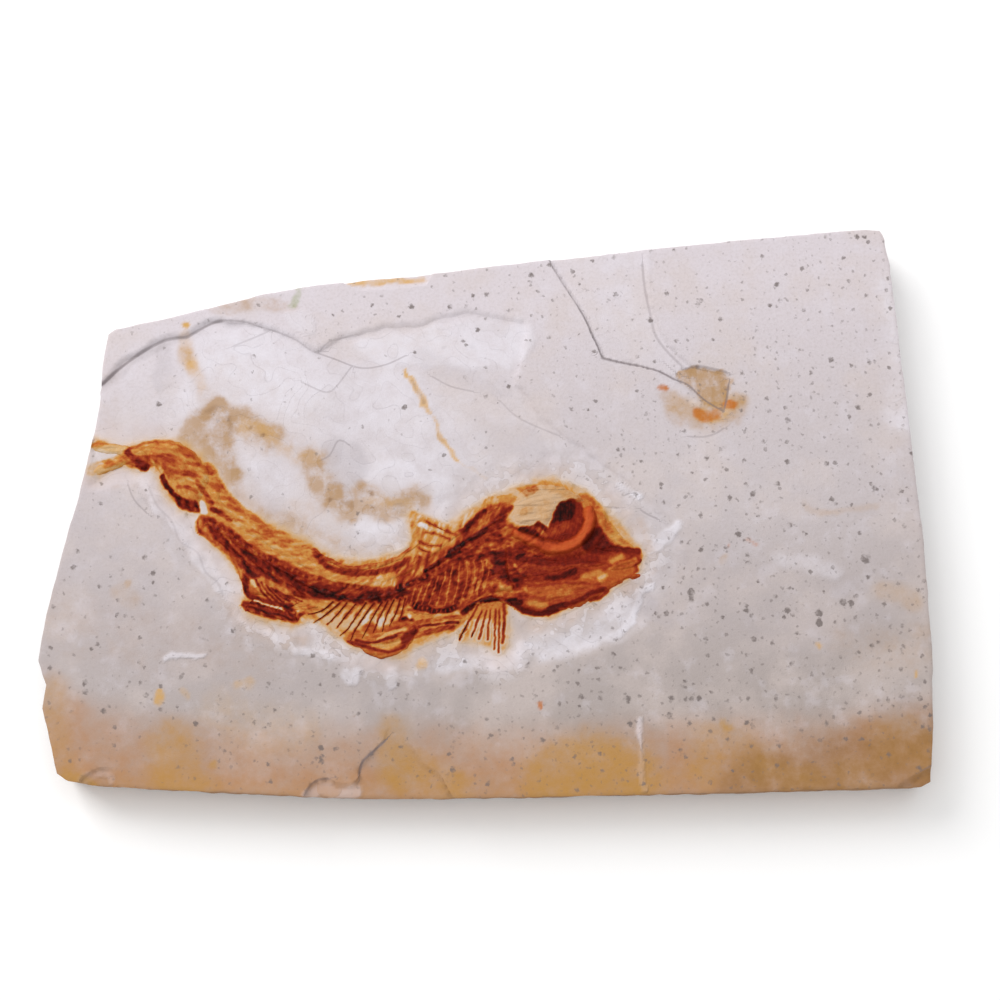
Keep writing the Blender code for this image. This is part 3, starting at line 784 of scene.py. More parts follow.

# Each dark line: how dark it is, its width (mm), and where it runs. Along cracks it is their own dark joint;
# along the edges of ledges and chips it is painted shade at the foot of the step.
CRACKS_AND_LEDGE_SHADE = (
    # The strip's edges: the dark line is painted shade at the foot of its ledge
    (0.55, 0.45, (549, 256, 551, 265, 566, 288, 580, 309)),
    (0.85, 0.50, (580, 309, 591, 330, 602, 358)),
    (1.0, 0.75, (602, 358, 620, 362, 639, 366)),
    (0.9, 0.60, (639, 366, 658, 371, 674, 379)),
    (0.8, 0.50, (674, 379, 688, 384, 701, 396, 712, 404, 724, 411)),
    (0.8, 0.50, (724, 411, 727, 398, 729, 385)),
    (0.6, 0.60, (686, 368, 698, 366, 726, 372)),
    (0.40, 0.60, (643, 262, 645, 290, 651, 318, 656, 334, 668, 350, 680, 364)),
    # The next two follow the cleared hollow's upper edge: painted shade at the foot of its ledge
    (0.85, 0.65, (103, 383, 121, 366, 145, 350, 166, 339, 186, 336)),
    (0.8, 0.60, (186, 336, 208, 323, 223, 319.5)),
    (0.45, 0.40, (223, 319.5, 243, 322, 264, 327, 279, 332)),
    (0.3, 0.35, (279, 332, 297, 340, 315, 351, 330, 342, 352, 335)),
    (0.5, 0.40, (315, 351, 335, 359, 361, 368, 386, 364, 406, 355)),
    (0.35, 0.40, (269, 330, 253, 337, 233, 345)),
    (0.4, 0.40, (350, 368, 335, 386, 325, 391, 304, 383)),
    (0.4, 0.40, (432, 376, 450, 386, 473, 391)),
    (0.4, 0.40, (322, 460, 330, 455, 338, 440, 348, 444)),
    (0.3, 0.40, (500, 400, 520, 418, 560, 436)),
    (0.6, 0.45, (594, 503, 603, 507, 616, 508)),
    (0.5, 0.45, (642, 510, 649, 514, 657, 518)),
    # These three follow the edges of the near and snout chips: painted shade at the foot of their steps
    (0.9, 0.55, (359, 774, 363, 761, 371, 753, 385, 740)),
    (0.5, 0.50, (304, 796, 310, 785, 319, 779, 328, 779)),
    (0.5, 0.40, (920, 771, 927, 768, 933, 765)),
    (0.4, 0.40, (128, 486, 134, 500, 146, 512)),
    (0.22, 0.50, (150, 488, 157, 506, 172, 521, 181, 541, 197, 552, 205, 571, 217, 581, 222, 594)),
    (0.4, 0.45, (690, 436, 704, 437, 716, 434, 724, 428)),
)

STONE_MARKS: dict[Paint, tuple[Mark, ...]] = {
    Paint.WHITE: (
        Mark(CLEARED, 0, 0.8, 0.22),
        Mark((196, 330, 224, 321, 262, 330, 300, 345, 340, 372, 400, 372, 440, 440, 452, 500, 430, 530,
              370, 550, 300, 520, 262, 480, 236, 440, 214, 400, 200, 360), 0, 2.0, 0.34),
        Mark((224, 334, 262, 342, 300, 372, 330, 400, 306, 410, 262, 400, 226, 372), 0, 2.0, 0.4),
        Mark((354, 345, 400, 334, 466, 322, 524, 326, 518, 360, 450, 366, 390, 362), 0, 1.2, 0.52),
        Mark((284, 316, 300, 311, 314, 322, 312, 336, 296, 332), 0, 0.6, 0.45),
        Mark((690, 470, 780, 496, 890, 480), 10.0, 12.0, 0.16),
        Mark((898, 290, 903, 350, 908, 420), 3.0, 4.0, 0.5),
        Mark((390, 400, 440, 420, 470, 450), 4.0, 4.0, 0.25),
        Mark((376, 470, 410, 462, 436, 480, 430, 516, 390, 530, 360, 520), 0, 3.0, 0.4),
        Mark((200, 366, 190, 400, 180, 430), 2.0, 3.0, 0.4),
        Mark((136, 474, 152, 482, 172, 516, 200, 546, 224, 574, 240, 612, 226, 602, 206, 574, 182, 544,
              158, 510, 144, 486), 0, 0.8, 0.5), Mark((300, 648, 316, 652, 330, 654), 1.0, 0.8, 0.6),
        Mark((345, 670, 350, 680, 356, 668), 1.0, 0.8, 0.6), Mark((392, 668, 396, 684), 0.8, 0.8, 0.5),
        Mark((236, 616, 250, 626, 276, 636), 0.8, 0.8, 0.7),
        Mark((654, 546, 664, 536, 676, 526), 1.0, 0.9, 0.8),
        Mark((618, 484, 630, 491, 638, 494), 0.5, 0.7, 0.9), Mark((645, 589, 652, 588), 0.5, 0.7, 0.9),
        Mark((610, 640, 628, 626, 636, 606, 640, 590), 0.5, 0.7, 0.7),
        Mark((540, 648, 570, 644, 600, 630, 618, 612), 2.4, 1.6, 0.5),
        Mark((440, 664, 480, 662, 520, 654), 2.0, 1.6, 0.5),
        Mark((165, 656, 184, 654, 202, 653), 0.4, 0.5, 0.8),
        Mark((779, 562, 800, 560, 820, 566, 835, 572), 0.8, 1.8, 0.4), Mark(STRIP, 0, 0.8, 0.25),
        Mark((694, 400, 698, 403), 0.6, 0.7, 0.9),
        Mark((82, 779, 92, 771, 108, 771, 112, 778), 0.8, 0.6, 0.7),
        Mark((308, 792, 320, 786, 334, 792, 352, 790), 1.4, 0.8, 0.7),
        Mark((638, 718, 639, 755, 642, 790), 0.4, 0.5, 0.85)),
    Paint.GREY_AND_SHADE: (
        # Painted shade: a deeper patch of the hollow drawn grey
        Mark((322, 452, 338, 440, 356, 446, 366, 466, 362, 496, 342, 498, 328, 478), 0, 1.5, 0.6),
        Mark((70, 560, 130, 590, 190, 620), 8.0, 9.0, 0.25),
        Mark((84, 500, 110, 530, 140, 560), 4.0, 5.0, 0.18),
        Mark((634, 596, 652, 612, 668, 622), 1.6, 2.4, 0.4),
        # Painted shadow at the foot of the cleared hollow's upper ledge
        Mark((100, 388, 122, 369, 148, 352, 168, 340, 190, 335, 214, 322, 240, 322), 0.4, 1.0, 0.45),
        Mark((160, 350, 166, 366, 162, 385), 1.2, 1.6, 0.4),
        # Painted shadow at the foot of the strip's ledge
        Mark((604, 356, 640, 365, 672, 376, 702, 398), 0.2, 0.9, 0.5),
        Mark((682, 368, 690, 372), 0.5, 0.6, 0.9),
        Mark((420, 356, 440, 368, 470, 380, 500, 388), 1.6, 2.0, 0.35),
        Mark((480, 430, 520, 440, 540, 462), 3.0, 3.0, 0.3),
        Mark((120, 640, 220, 660, 320, 700, 420, 700), 6.0, 8.0, 0.3),
        Mark((640, 560, 720, 590, 800, 620, 860, 600), 6.0, 9.0, 0.35)),
    Paint.BUFF: (
        Mark((50, 724, 150, 732, 300, 744, 420, 738, 560, 738, 700, 730, 820, 734, 955, 720, 955, 830,
              40, 830), 0, 7.0, 0.62),
        Mark((50, 768, 150, 772, 300, 780, 420, 772, 560, 766, 700, 760, 820, 762, 955, 750, 955, 830,
              40, 830), 0, 5.0, 0.62), Mark((46, 690, 62, 720, 72, 760), 4.0, 4.0, 0.35),
        Mark((870, 750, 900, 756, 924, 764), 4.0, 4.0, 0.5)),
    Paint.TAN: (
        Mark((190, 438, 224, 424, 262, 436, 304, 454, 326, 484, 370, 500, 412, 498), 3.0, 4.5, 0.26),
        Mark((184, 441, 190, 426, 204, 412, 220, 405), 0.6, 1.8, 0.85),
        Mark((220, 405, 226, 420, 229, 438, 232, 456, 234, 474), 0.7, 2.0, 0.7),
        Mark((196, 442, 212, 452, 220, 466, 227, 488), 1.4, 2.4, 0.6),
        Mark((196, 428, 220, 410, 230, 436, 224, 462, 204, 446), 0, 1.4, 0.35),
        Mark((232, 418, 246, 422, 258, 430, 272, 438), 1.8, 2.6, 0.75),
        Mark((272, 440, 290, 449, 306, 452, 314, 458), 1.2, 2.2, 0.3),
        Mark((312, 458, 318, 476, 326, 490, 342, 502), 0.8, 2.2, 0.85),
        Mark((326, 492, 350, 507, 366, 498, 390, 506, 414, 498), 1.8, 2.8, 0.85),
        Mark((372, 503, 384, 511), 1.0, 2.0, 0.5),
        Mark((516, 480, 548, 474, 580, 480, 606, 498, 632, 524), 1.0, 3.0, 0.22),
        Mark((212, 462, 228, 490, 252, 512, 286, 532, 320, 544, 352, 556, 386, 554, 408, 536), 1.6, 3.0,
             0.42),
        Mark((258, 524, 280, 530, 296, 540, 310, 548), 1.6, 1.8, 0.6),
        Mark((292, 508, 316, 522, 344, 536), 2.4, 2.6, 0.32),
        Mark((210, 398, 200, 378, 190, 366, 184, 350), 1.0, 2.4, 0.4),
        Mark((216, 308, 240, 304, 264, 302, 288, 306), 1.2, 1.8, 0.4),
        Mark(CLEARED[:6] + (116, 484, 106, 400), 1.0, 2.0, 0.2),
        Mark((300, 640, 262, 624, 236, 604), 1.0, 2.4, 0.25),
        Mark((60, 620, 140, 640, 260, 650), 5.0, 7.0, 0.2),
        Mark((470, 640, 440, 652, 404, 662), 1.0, 1.6, 0.25),
        Mark((528, 628, 560, 622, 600, 604, 636, 584), 0.6, 1.6, 0.3),
        Mark((640, 545, 655, 556, 654, 570), 0.4, 1.2, 0.3),
        Mark((676, 377, 682, 370, 697, 366, 726, 371, 729, 384, 724, 410, 712, 404, 701, 396, 688, 384), 0,
             0.3, 0.85),
        Mark((664, 396, 676, 414, 706, 424, 736, 418, 742, 400), 1.0, 1.6, 0.4),
        Mark((642, 570, 648, 545, 640, 520), 0.5, 1.0, 0.4),
        Mark((852, 642, 900, 650, 925, 640), 3.0, 5.0, 0.25)),
    Paint.OCHRE: (
        Mark((30, 784, 150, 780, 300, 788, 420, 780, 560, 778, 700, 774, 820, 770, 955, 766, 955, 830,
              20, 830), 0, 4.0, 0.35),
        Mark((676, 377, 697, 366, 726, 371, 729, 384, 724, 410, 701, 396), 0, 0.5, 0.25),
        Mark((556, 774, 590, 764, 630, 772), 5.0, 6.0, 0.8),
        Mark((392, 730, 398, 752, 402, 776), 2.4, 3.5, 0.6),
        Mark((400, 768, 424, 772, 450, 788), 3.0, 4.0, 0.55),
        Mark((172, 750, 178, 768, 186, 786), 4.0, 5.0, 0.65),
        Mark((704, 764, 712, 742, 736, 748, 760, 764), 2.6, 4.4, 0.55),
        Mark((790, 778, 804, 774, 812, 780), 2.0, 3.0, 0.55),
        Mark((892, 744, 914, 740, 928, 752), 3.0, 5.0, 0.6), Mark((850, 776, 866, 782), 2.0, 4.0, 0.4),
        Mark((66, 774, 80, 780, 92, 788), 1.0, 1.2, 0.8), Mark((50, 690, 56, 740, 64, 770), 2.0, 4.0, 0.5),
        Mark((676, 402, 696, 408, 726, 412, 734, 404), 1.4, 2.6, 0.75),
        Mark((805, 504, 828, 511, 851, 511, 879, 502), 0.4, 0.9, 0.4), Mark((128, 583), 0.6, 0.8, 0.7),
        Mark((120, 590, 135, 602), 1.6, 2.0, 0.35), Mark((215, 762), 0.7, 0.7, 0.9),
        Mark((724, 722, 728, 728), 0.6, 0.7, 0.9), Mark((724, 558), 0.9, 1.0, 0.5),
        Mark((885, 592, 915, 600), 1.6, 2.0, 0.45), Mark((759, 765, 768, 770), 0.9, 1.0, 0.7),
        Mark((800, 778), 0.9, 0.9, 0.7)),
    Paint.GOLD: (
        Mark((407, 373, 414, 386, 421, 397, 430, 410), 0.30, 0.6, 1.0),
        Mark((414, 386, 425, 404), 0.7, 0.6, 1.0),
        Mark((433, 415, 440, 430, 447, 446, 457, 462), 0.15, 0.6, 0.85),
        Mark((442, 436, 447, 446), 0.4, 0.5, 0.8), Mark((457, 462, 468, 470, 483, 478), 0.05, 0.5, 0.4),
        Mark((350, 283, 370, 282, 395, 281, 420, 279), 0.7, 0.7, 0.75), Mark((185, 325), 0.8, 0.7, 0.85),
        Mark((184, 338, 185, 352, 190, 366), 1.2, 1.6, 0.4),
        Mark((190, 366, 196, 374, 203, 384), 1.0, 1.4, 0.4),
        Mark((244, 426, 260, 430, 272, 438), 1.2, 1.8, 0.45),
        Mark((284, 448, 300, 454, 314, 456), 1.0, 1.6, 0.3),
        Mark((372, 499, 388, 499, 408, 500), 0.8, 1.4, 0.35),
        Mark((153, 705, 155, 695, 158, 689, 161, 695, 162, 702, 158, 707), 0, 0.5, 0.75),
        Mark((414, 667, 416, 659, 421, 658, 422, 668), 0, 0.5, 0.8),
        Mark((821, 642, 822, 646), 0.4, 0.5, 0.8), Mark((914, 669, 915, 673), 0.3, 0.4, 0.7),
        Mark((222, 712, 260, 724, 300, 730), 4.0, 5.0, 0.25), Mark((182, 692, 185, 697), 0.6, 0.8, 0.4),
        Mark((238, 684, 252, 683), 0.5, 1.0, 0.4), Mark((700, 411, 712, 415, 724, 410), 1.2, 1.2, 0.6)),
    Paint.BROWN: (
        Mark((760, 790, 850, 774, 930, 756), 7.0, 7.0, 0.62), Mark((264, 438), 0.4, 0.5, 0.9),
        Mark((250, 428), 0.3, 0.4, 0.7), Mark((327, 497), 0.4, 0.5, 0.9), Mark((371, 491), 0.4, 0.5, 0.9),
        Mark((374, 507), 0.4, 0.5, 0.8), Mark((398, 502), 0.3, 0.5, 0.6),
        Mark((340, 500, 352, 504), 0.4, 1.0, 0.5), Mark((226, 416, 229, 432), 0.2, 0.8, 0.5),
        Mark((413, 385, 424, 402), 0.2, 0.45, 0.6), Mark((441, 434, 446, 444), 0.1, 0.4, 0.5),
        Mark((206, 411, 216, 406), 0.2, 0.8, 0.5), Mark((352, 718), 0.3, 0.4, 0.5)),
    Paint.RUST: (
        Mark((697, 410, 706, 414, 716, 412), 0.9, 1.0, 1.0), Mark((728, 404, 734, 407), 0.7, 0.8, 0.95),
        Mark((662, 389), 0.8, 0.6, 0.9), Mark((538, 704, 538, 708), 0.4, 0.4, 0.8),
        Mark((744, 540, 756, 547), 0.2, 0.5, 0.5), Mark((726, 548), 0.2, 0.5, 0.5)),
    Paint.MOSS: (
        Mark((291, 305, 294, 299, 299, 293), 0.6, 0.8, 0.7),
        Mark((298, 287, 310, 284, 330, 281), 0.3, 0.6, 0.5)),
}

# Large specks: across, down, and radius in millimetres
SPECKS = ((730, 498, .42), (691, 592, .62), (691, 599, .55), (819, 613, .62), (819, 623, .62),
          (866, 559, .85), (890, 627, .36), (747, 655, .36), (728, 655, .3), (691, 699, .38), (685, 681, .3),
          (693, 684, .28), (600, 698, .4), (628, 702, .3), (579, 706, .3), (643, 706, .26), (680, 750, .3),
          (733, 771, .3), (700, 778, .26), (656, 613, .3), (663, 587, .3), (688, 543, .26), (701, 550, .36),
          (698, 569, .3), (684, 568, .22), (744, 540, .26), (731, 542, .22), (806, 534, .26),
          (804, 505, .26), (758, 516, .26), (723, 618, .3), (784, 617, .3), (797, 633, .26), (793, 589, .26),
          (758, 582, .26), (843, 602, .6), (851, 603, .5), (857, 596, .26), (824, 592, .26), (616, 639, .34),
          (653, 658, .26), (579, 670, .26), (890, 651, .3), (901, 650, .26), (885, 663, .26), (888, 699, .3),
          (893, 706, .28), (923, 726, .36), (930, 715, .3), (839, 784, .26), (85, 683, .48), (85, 692, .45),
          (127, 687, .26), (268, 764, .38), (321, 748, .48), (321, 757, .46), (265, 728, .26),
          (109, 707, .3), (144, 667, .26), (177, 707, .26), (275, 710, .28), (266, 707, .24),
          (320, 685, .26), (145, 557, .4), (153, 573, .42), (153, 582, .3), (207, 600, .36), (125, 616, .36),
          (71, 614, .26), (91, 649, .28), (473, 296, .36), (514, 287, .22), (538, 292, .3), (553, 300, .3),
          (587, 289, .26), (579, 283, .22), (667, 294, .36), (770, 305, .36), (713, 340, .3), (646, 414, .3),
          (588, 410, .26), (624, 450, .22), (634, 464, .22), (661, 488, .26), (692, 473, .26),
          (674, 250, .26), (857, 237, .42), (864, 237, .42), (478, 329, .38), (463, 340, .3), (526, 340, .3),
          (509, 386, .34), (372, 305, .3), (333, 315, .22), (399, 316, .26), (415, 352, .3))

# ------------------------------------------------------------------------------ iron in the fish
# Each stroke: the iron's level, its width in millimetres or 0 to fill an outline, how softly it ends, where
Stroke = tuple[float, float, float, Places]
BASE_STROKES: tuple[Stroke, ...] = (
    # tail fin
    (0.05, 0, 0.6, (84, 450, 108, 451, 117, 454, 106, 458, 84, 463)),
    (0.22, 0.5, 0.6, (94, 443, 100, 444, 107, 446)),
    (0.12, 0.5, 0.5, (105, 447, 116, 449, 126, 451)),
    (0.14, 0.9, 0.6, (90, 471, 102, 467, 112, 462)),
    (0.27, 0.7, 0.6, (106, 464, 117, 459, 127, 456)),
    (0.38, 0, 0.5, (124, 450, 132, 447, 146, 446, 160, 445, 160, 458, 150, 465, 136, 467, 126, 461)),
    (0.22, 0.8, 0.6, (135, 450, 147, 451, 157, 449)),
    (0.68, 0.5, 0.5, (127, 452, 133, 459, 141, 464)),
    (0.74, 0.7, 0.4, (138, 465, 145, 467)),
    # tail stalk
    (0.34, 0, 0.5, (152, 448, 170, 445, 186, 451, 199, 463, 203, 476, 190, 481, 174, 479, 163, 470)),
    (0.40, 2.2, 0.9, (168, 459, 178, 463, 190, 470)),
    (0.33, 0.1, 0.7, (140, 445, 152, 443, 168, 442, 184, 449)),
    (0.26, 0.5, 0.5, (146, 447, 160, 448, 172, 450)),
    (0.22, 0, 0.5, (174, 482, 186, 479, 197, 483, 199, 495, 192, 497, 182, 492)),
    (0.38, 0.3, 0.3, (178, 486, 188, 488, 196, 492)),
    (0.86, 0.45, 0.35, (162, 476, 166, 484, 172, 492, 178, 498)),
    (0.66, 0, 0.4, (175, 495, 184, 499, 197, 503, 198, 511, 186, 509, 177, 503)),
    (0.80, 0.25, 0.3, (176, 497, 186, 501, 197, 505)),
    (0.50, 0.5, 0.4, (197, 482, 204, 492, 211, 503)),
    (0.17, 0.8, 0.5, (204, 468, 207, 478)),
    (0.44, 0.5, 0.5, (208, 474, 217, 488, 226, 502)),
    (0.05, 0.8, 0.5, (201, 503, 203, 511)),
    (0.52, 0.4, 0.4, (212, 508, 222, 513, 230, 519)),
    # golden muscle band over the backbone
    (0.25, 2.1, 0.7, (206, 470, 220, 494, 238, 513, 262, 533, 286, 549, 310, 563, 336, 574, 360, 578,
                      385, 574, 404, 564, 424, 551)),
    (0.34, 0.35, 0.9, (208, 470, 220, 488, 240, 509, 268, 529, 292, 543, 312, 552)),
    (0.44, 0.6, 0.7, (400, 571, 420, 558, 440, 548, 455, 545)),
    (0.63, 0.5, 0.5, (315, 551, 322, 561, 332, 568, 352, 572, 376, 572, 394, 567, 408, 558)),
    # dark wedge under the backbone
    (0.60, 0, 0.6, (200, 518, 213, 520, 235, 534, 256, 549, 284, 563, 305, 573, 345, 586, 400, 589, 402, 597,
                    366, 603, 325, 600, 300, 595, 276, 582, 260, 576, 247, 583, 242, 572, 235, 561, 223, 545,
                    203, 534, 196, 526)),
    (0.36, 0.5, 0.5, (200, 519, 202, 526, 208, 534)),
    (0.44, 0.3, 0.5, (208, 536, 222, 547, 236, 564, 244, 580)),
    (0.76, 0.4, 0.5, (212, 527, 236, 545, 262, 562, 290, 578)),
    (0.76, 0.2, 0.4, (226, 540, 240, 556, 250, 572)),
    (0.46, 0.2, 0.3, (220, 530, 244, 556, 266, 570)),
    (0.78, 0.3, 0.5, (240, 548, 262, 568, 280, 582)),
    (0.78, 0.8, 0.6, (296, 583, 318, 591, 345, 597, 375, 598, 400, 594)),
    (0.90, 0.4, 0.5, (310, 591, 330, 597, 346, 599)),
    (0.60, 0.4, 0.4, (223, 530, 235, 540, 256, 553, 284, 567, 305, 575, 335, 583, 376, 589, 400, 590)),
    # golden patch and anal fin
    (0.29, 0, 0.5, (252, 583, 262, 579, 278, 586, 296, 598, 290, 603, 268, 600, 252, 595)),
    (0.74, 0.5, 0.4, (244, 580, 246, 592, 252, 597)),
    (0.06, 0.5, 0.3, (252, 582, 256, 585)),
    (0.55, 0, 0.35, (243, 602, 256, 604, 274, 610, 294, 613, 296, 621, 276, 618, 256, 613, 244, 608)),
    (0.80, 0.15, 0.25, (246, 606, 268, 612, 293, 619)),
    (0.76, 0.15, 0.25, (250, 602, 272, 607, 294, 612)),
    (0.07, 0.3, 0.25, (254, 600, 270, 604, 284, 609)),
    (0.62, 0.35, 0.3, (250, 596, 272, 602, 292, 605)),
    (0.82, 0.6, 0.4, (285, 607, 292, 613)),
    (0.50, 0.3, 0.3, (294, 618, 308, 611, 324, 602)),
    (0.44, 0.25, 0.3, (293, 612, 306, 606, 318, 600)),
    (0.12, 0.3, 0.3, (297, 611, 310, 605, 316, 602)),
    # stone between the belly rays, golden near their roots
    (0.27, 0, 0.8, (300, 603, 326, 600, 345, 603, 372, 604, 400, 601, 404, 612, 384, 624, 366, 626, 345, 628,
                    328, 622, 308, 614)),
    (0.14, 0, 0.9, (318, 612, 340, 611, 366, 611, 392, 609, 398, 616, 382, 626, 364, 628, 345, 630,
                    326, 624)),
    (0.07, 0.6, 0.6, (384, 614, 380, 622)),
    (0.07, 0.4, 0.6, (370, 612, 364, 622)),
    # backbone and the dark stripe over it
    (0.48, 2.0, 0.7, (404, 580, 424, 566, 446, 551, 470, 534, 492, 514, 510, 503)),
    (0.70, 0.4, 0.5, (440, 546, 462, 530, 484, 511)),
    (0.26, 0.6, 0.5, (486, 502, 500, 498, 514, 495)),
    (0.52, 0, 0.6, (432, 572, 470, 548, 490, 534, 507, 524, 514, 540, 500, 558, 480, 556, 458, 562)),
    (0.80, 0.7, 0.5, (370, 594, 389, 592, 408, 586, 422, 579, 433, 573)),
    (0.76, 0.4, 0.4, (433, 573, 446, 566, 458, 560, 470, 557, 482, 556)),
    (0.84, 0.4, 0.4, (425, 570, 437, 563, 450, 554)),
    (0.86, 1.0, 0.5, (450, 554, 466, 544, 478, 536, 490, 528)),
    (0.88, 0.4, 0.4, (458, 549, 466, 544, 476, 537)),
    (0.90, 0.6, 0.4, (490, 528, 500, 521, 506, 517)),
    (0.60, 0.2, 0.3, (462, 550, 476, 541, 490, 532)),
    # ribs and belly
    (0.57, 0, 0.6, (408, 590, 427, 578, 446, 567, 477, 558, 490, 563, 496, 577, 490, 590, 477, 603, 462, 608,
                    443, 606, 427, 605, 411, 601)),
    (0.48, 0.8, 1.0, (470, 566, 478, 578, 470, 592)),
    (0.34, 0, 0.6, (480, 580, 490, 588, 480, 597, 466, 604, 456, 604, 466, 596)),
    (0.70, 1.0, 1.0, (426, 588, 440, 582, 452, 574)),
    (0.86, 0.6, 0.4, (411, 602, 420, 607, 433, 610, 446, 610, 458, 605)),
    (0.60, 0.6, 0.4, (458, 606, 470, 600, 482, 590)),
    # pelvic bones and fin
    (0.22, 0, 0.4, (414, 616, 440, 614, 466, 613, 466, 619, 452, 630, 430, 636, 414, 638)),
    (0.44, 0.45, 0.3, (414, 623, 440, 619, 464, 616)),
    (0.46, 0.55, 0.3, (412, 636, 432, 631, 453, 627)),
    (0.70, 0.2, 0.25, (414, 627, 436, 624, 458, 622)),
    (0.90, 0.8, 0.5, (402, 620, 410, 622, 405, 625)),
    (0.07, 0.4, 0.4, (410, 616)),
    (0.34, 0, 0.45, (344, 638, 356, 632, 372, 622, 376, 640, 360, 643)),
    (0.38, 0, 0.45, (376, 632, 398, 622, 414, 622, 416, 634, 402, 646, 392, 640, 380, 644)),
    (0.14, 0.35, 0.25, (378, 640, 392, 632, 404, 628)),
    (0.66, 0.15, 0.35, (348, 641, 364, 646, 376, 650, 392, 651, 404, 646)),
    (0.68, 1.0, 0.6, (405, 640, 412, 630)),
    (0.17, 0.4, 0.5, (374, 645, 388, 646, 398, 641)),
    (0.72, 0.2, 0.25, (356, 640, 368, 643, 380, 641, 396, 635)),
    # shoulder
    (0.90, 0.5, 0.4, (463, 612, 472, 606, 481, 602)),
    (0.94, 0.8, 0.45, (481, 602, 492, 598, 504, 597, 512, 600)),
    (0.90, 0.4, 0.35, (512, 600, 523, 606)),
    # head: base, cap and crust
    (0.62, 0, 0.7, (488, 528, 500, 514, 512, 522, 520, 530, 560, 540, 590, 520, 602, 530, 618, 542, 638, 551,
                    634, 567, 612, 581, 580, 600, 552, 611, 530, 611, 508, 600, 492, 592, 486, 560)),
    (0.13, 0, 1.5, (508, 512, 514, 500, 530, 491, 548, 487, 564, 490, 576, 496, 577, 504, 560, 520, 536, 524,
                    514, 522)),
    (0.28, 0.3, 1.0, (536, 488, 541, 485, 547, 486)),
    (0.24, 0.5, 1.2, (522, 494, 530, 490)),
    (0.44, 1.0, 0.8, (482, 522, 492, 514, 500, 510)),
    (0.50, 0.5, 0.5, (496, 517, 505, 512, 511, 507)),
    (0.19, 0.4, 0.8, (488, 502, 500, 499, 516, 496)),
    (0.34, 0.3, 0.9, (529, 490, 535, 488)),
    (0.27, 0.8, 1.2, (555, 490, 565, 492, 572, 496)),
    (0.14, 0.4, 1.0, (577, 489, 588, 496)),
    (0.30, 0.2, 0.7, (586, 496, 592, 500, 599, 507)),
    (0.13, 0, 0.9, (511, 518, 514, 510, 522, 502, 536, 497, 551, 495, 560, 499, 558, 507, 553, 516, 549, 527,
                    543, 522, 536, 519, 527, 525, 517, 523)),
    (0.20, 0.8, 1.0, (546, 505, 542, 512, 545, 516)),
    (0.20, 0.5, 0.7, (522, 512, 530, 508)),
    # eye
    (0.70, 0, 0.3, (520, 528, 530, 526, 541, 523, 549, 528, 554, 516, 560, 503, 574, 499, 584, 503, 585, 518,
                    576, 533, 562, 543, 545, 544, 530, 540)),
    (0.84, 0.7, 0.5, (522, 530, 532, 532, 538, 535)),
    (0.78, 0.5, 0.6, (538, 524, 544, 530)),
    (0.95, 0, 0.35, (553, 522, 557, 508, 563, 502, 574, 503, 574, 512, 567, 521, 558, 519)),
    (0.86, 0.4, 0.3, (521, 529, 530, 532, 538, 537)),
    (0.56, 0.9, 0.6, (550, 532, 558, 529, 566, 524)),
    (0.50, 0.4, 0.4, (538, 529, 544, 534)),
    (0.64, 0.5, 0.4, (579, 508, 577, 520, 571, 530)),
    (0.45, 1.4, 0.5, (508, 533, 524, 541, 534, 546, 548, 549, 561, 549, 573, 545, 582, 537, 588, 526,
                      591, 514, 588, 503)),
    (0.38, 0.7, 0.6, (580, 498, 585, 499, 589, 505)),
    (0.40, 0.7, 0.5, (503, 531, 511, 534, 520, 539)),
    # A lighter line along the ring's inner side: painted highlight on the raised ring
    (0.34, 0.5, 0.5, (552, 549, 566, 547, 578, 540, 585, 529, 587, 514, 585, 502)),
    (0.56, 0.2, 0.35, (516, 543, 534, 552, 552, 555, 570, 552, 584, 543, 594, 528, 597, 508)),
    # snout
    (0.80, 0, 0.5, (583, 543, 590, 533, 599, 528, 607, 538, 612, 548, 600, 553, 588, 551)),
    (0.90, 0.5, 0.5, (586, 546, 593, 537, 599, 531)),
    (0.18, 0, 0.9, (598, 510, 608, 517, 618, 525, 627, 537, 635, 546, 622, 545, 612, 540, 606, 530,
                    601, 518)),
    (0.36, 0.7, 0.8, (600, 514, 604, 522, 609, 530)),
    (0.30, 0.3, 0.5, (620, 540, 628, 544)),
    (0.76, 0.5, 0.4, (604, 545, 620, 549, 638, 551)),
    (0.72, 0.5, 0.4, (632, 558, 634, 568)),
    (0.58, 0.7, 0.5, (620, 577, 629, 573, 635, 569)),
    (0.26, 0.25, 1.0, (612, 560, 620, 557)),
    (0.38, 0.6, 0.5, (610, 569, 622, 565, 634, 560)),
    # cheek
    (0.72, 0.9, 0.7, (510, 552, 530, 562, 560, 562, 596, 560)),
    (0.54, 0.3, 0.4, (512, 560, 540, 568, 580, 566, 606, 564)),
    (0.44, 0.9, 0.8, (490, 545, 500, 548, 508, 545)),
    (0.76, 0.7, 0.5, (507, 577, 520, 580)),
    (0.88, 0.2, 0.6, (546, 579, 560, 576, 574, 572)),
    (0.88, 0.5, 0.5, (566, 574, 575, 571)),
    (0.30, 0.7, 0.8, (584, 579, 591, 575, 600, 572)),
    (0.28, 0.2, 0.35, (515, 564, 517, 566)),
    (0.70, 0, 0.6, (489, 558, 498, 553, 505, 561, 503, 575, 493, 577)),
    (0.30, 0.4, 0.6, (486, 562, 491, 566)),
    # jaws
    (0.43, 1.8, 0.7, (491, 584, 502, 588, 516, 592, 535, 590, 560, 588, 585, 586, 606, 579, 627, 569)),
    (0.56, 0.2, 0.3, (504, 585, 530, 586, 560, 583, 588, 583)),
    (0.50, 1.4, 0.6, (522, 600, 545, 603, 570, 597, 596, 588)),
    (0.34, 0.6, 0.6, (550, 594, 570, 592)),
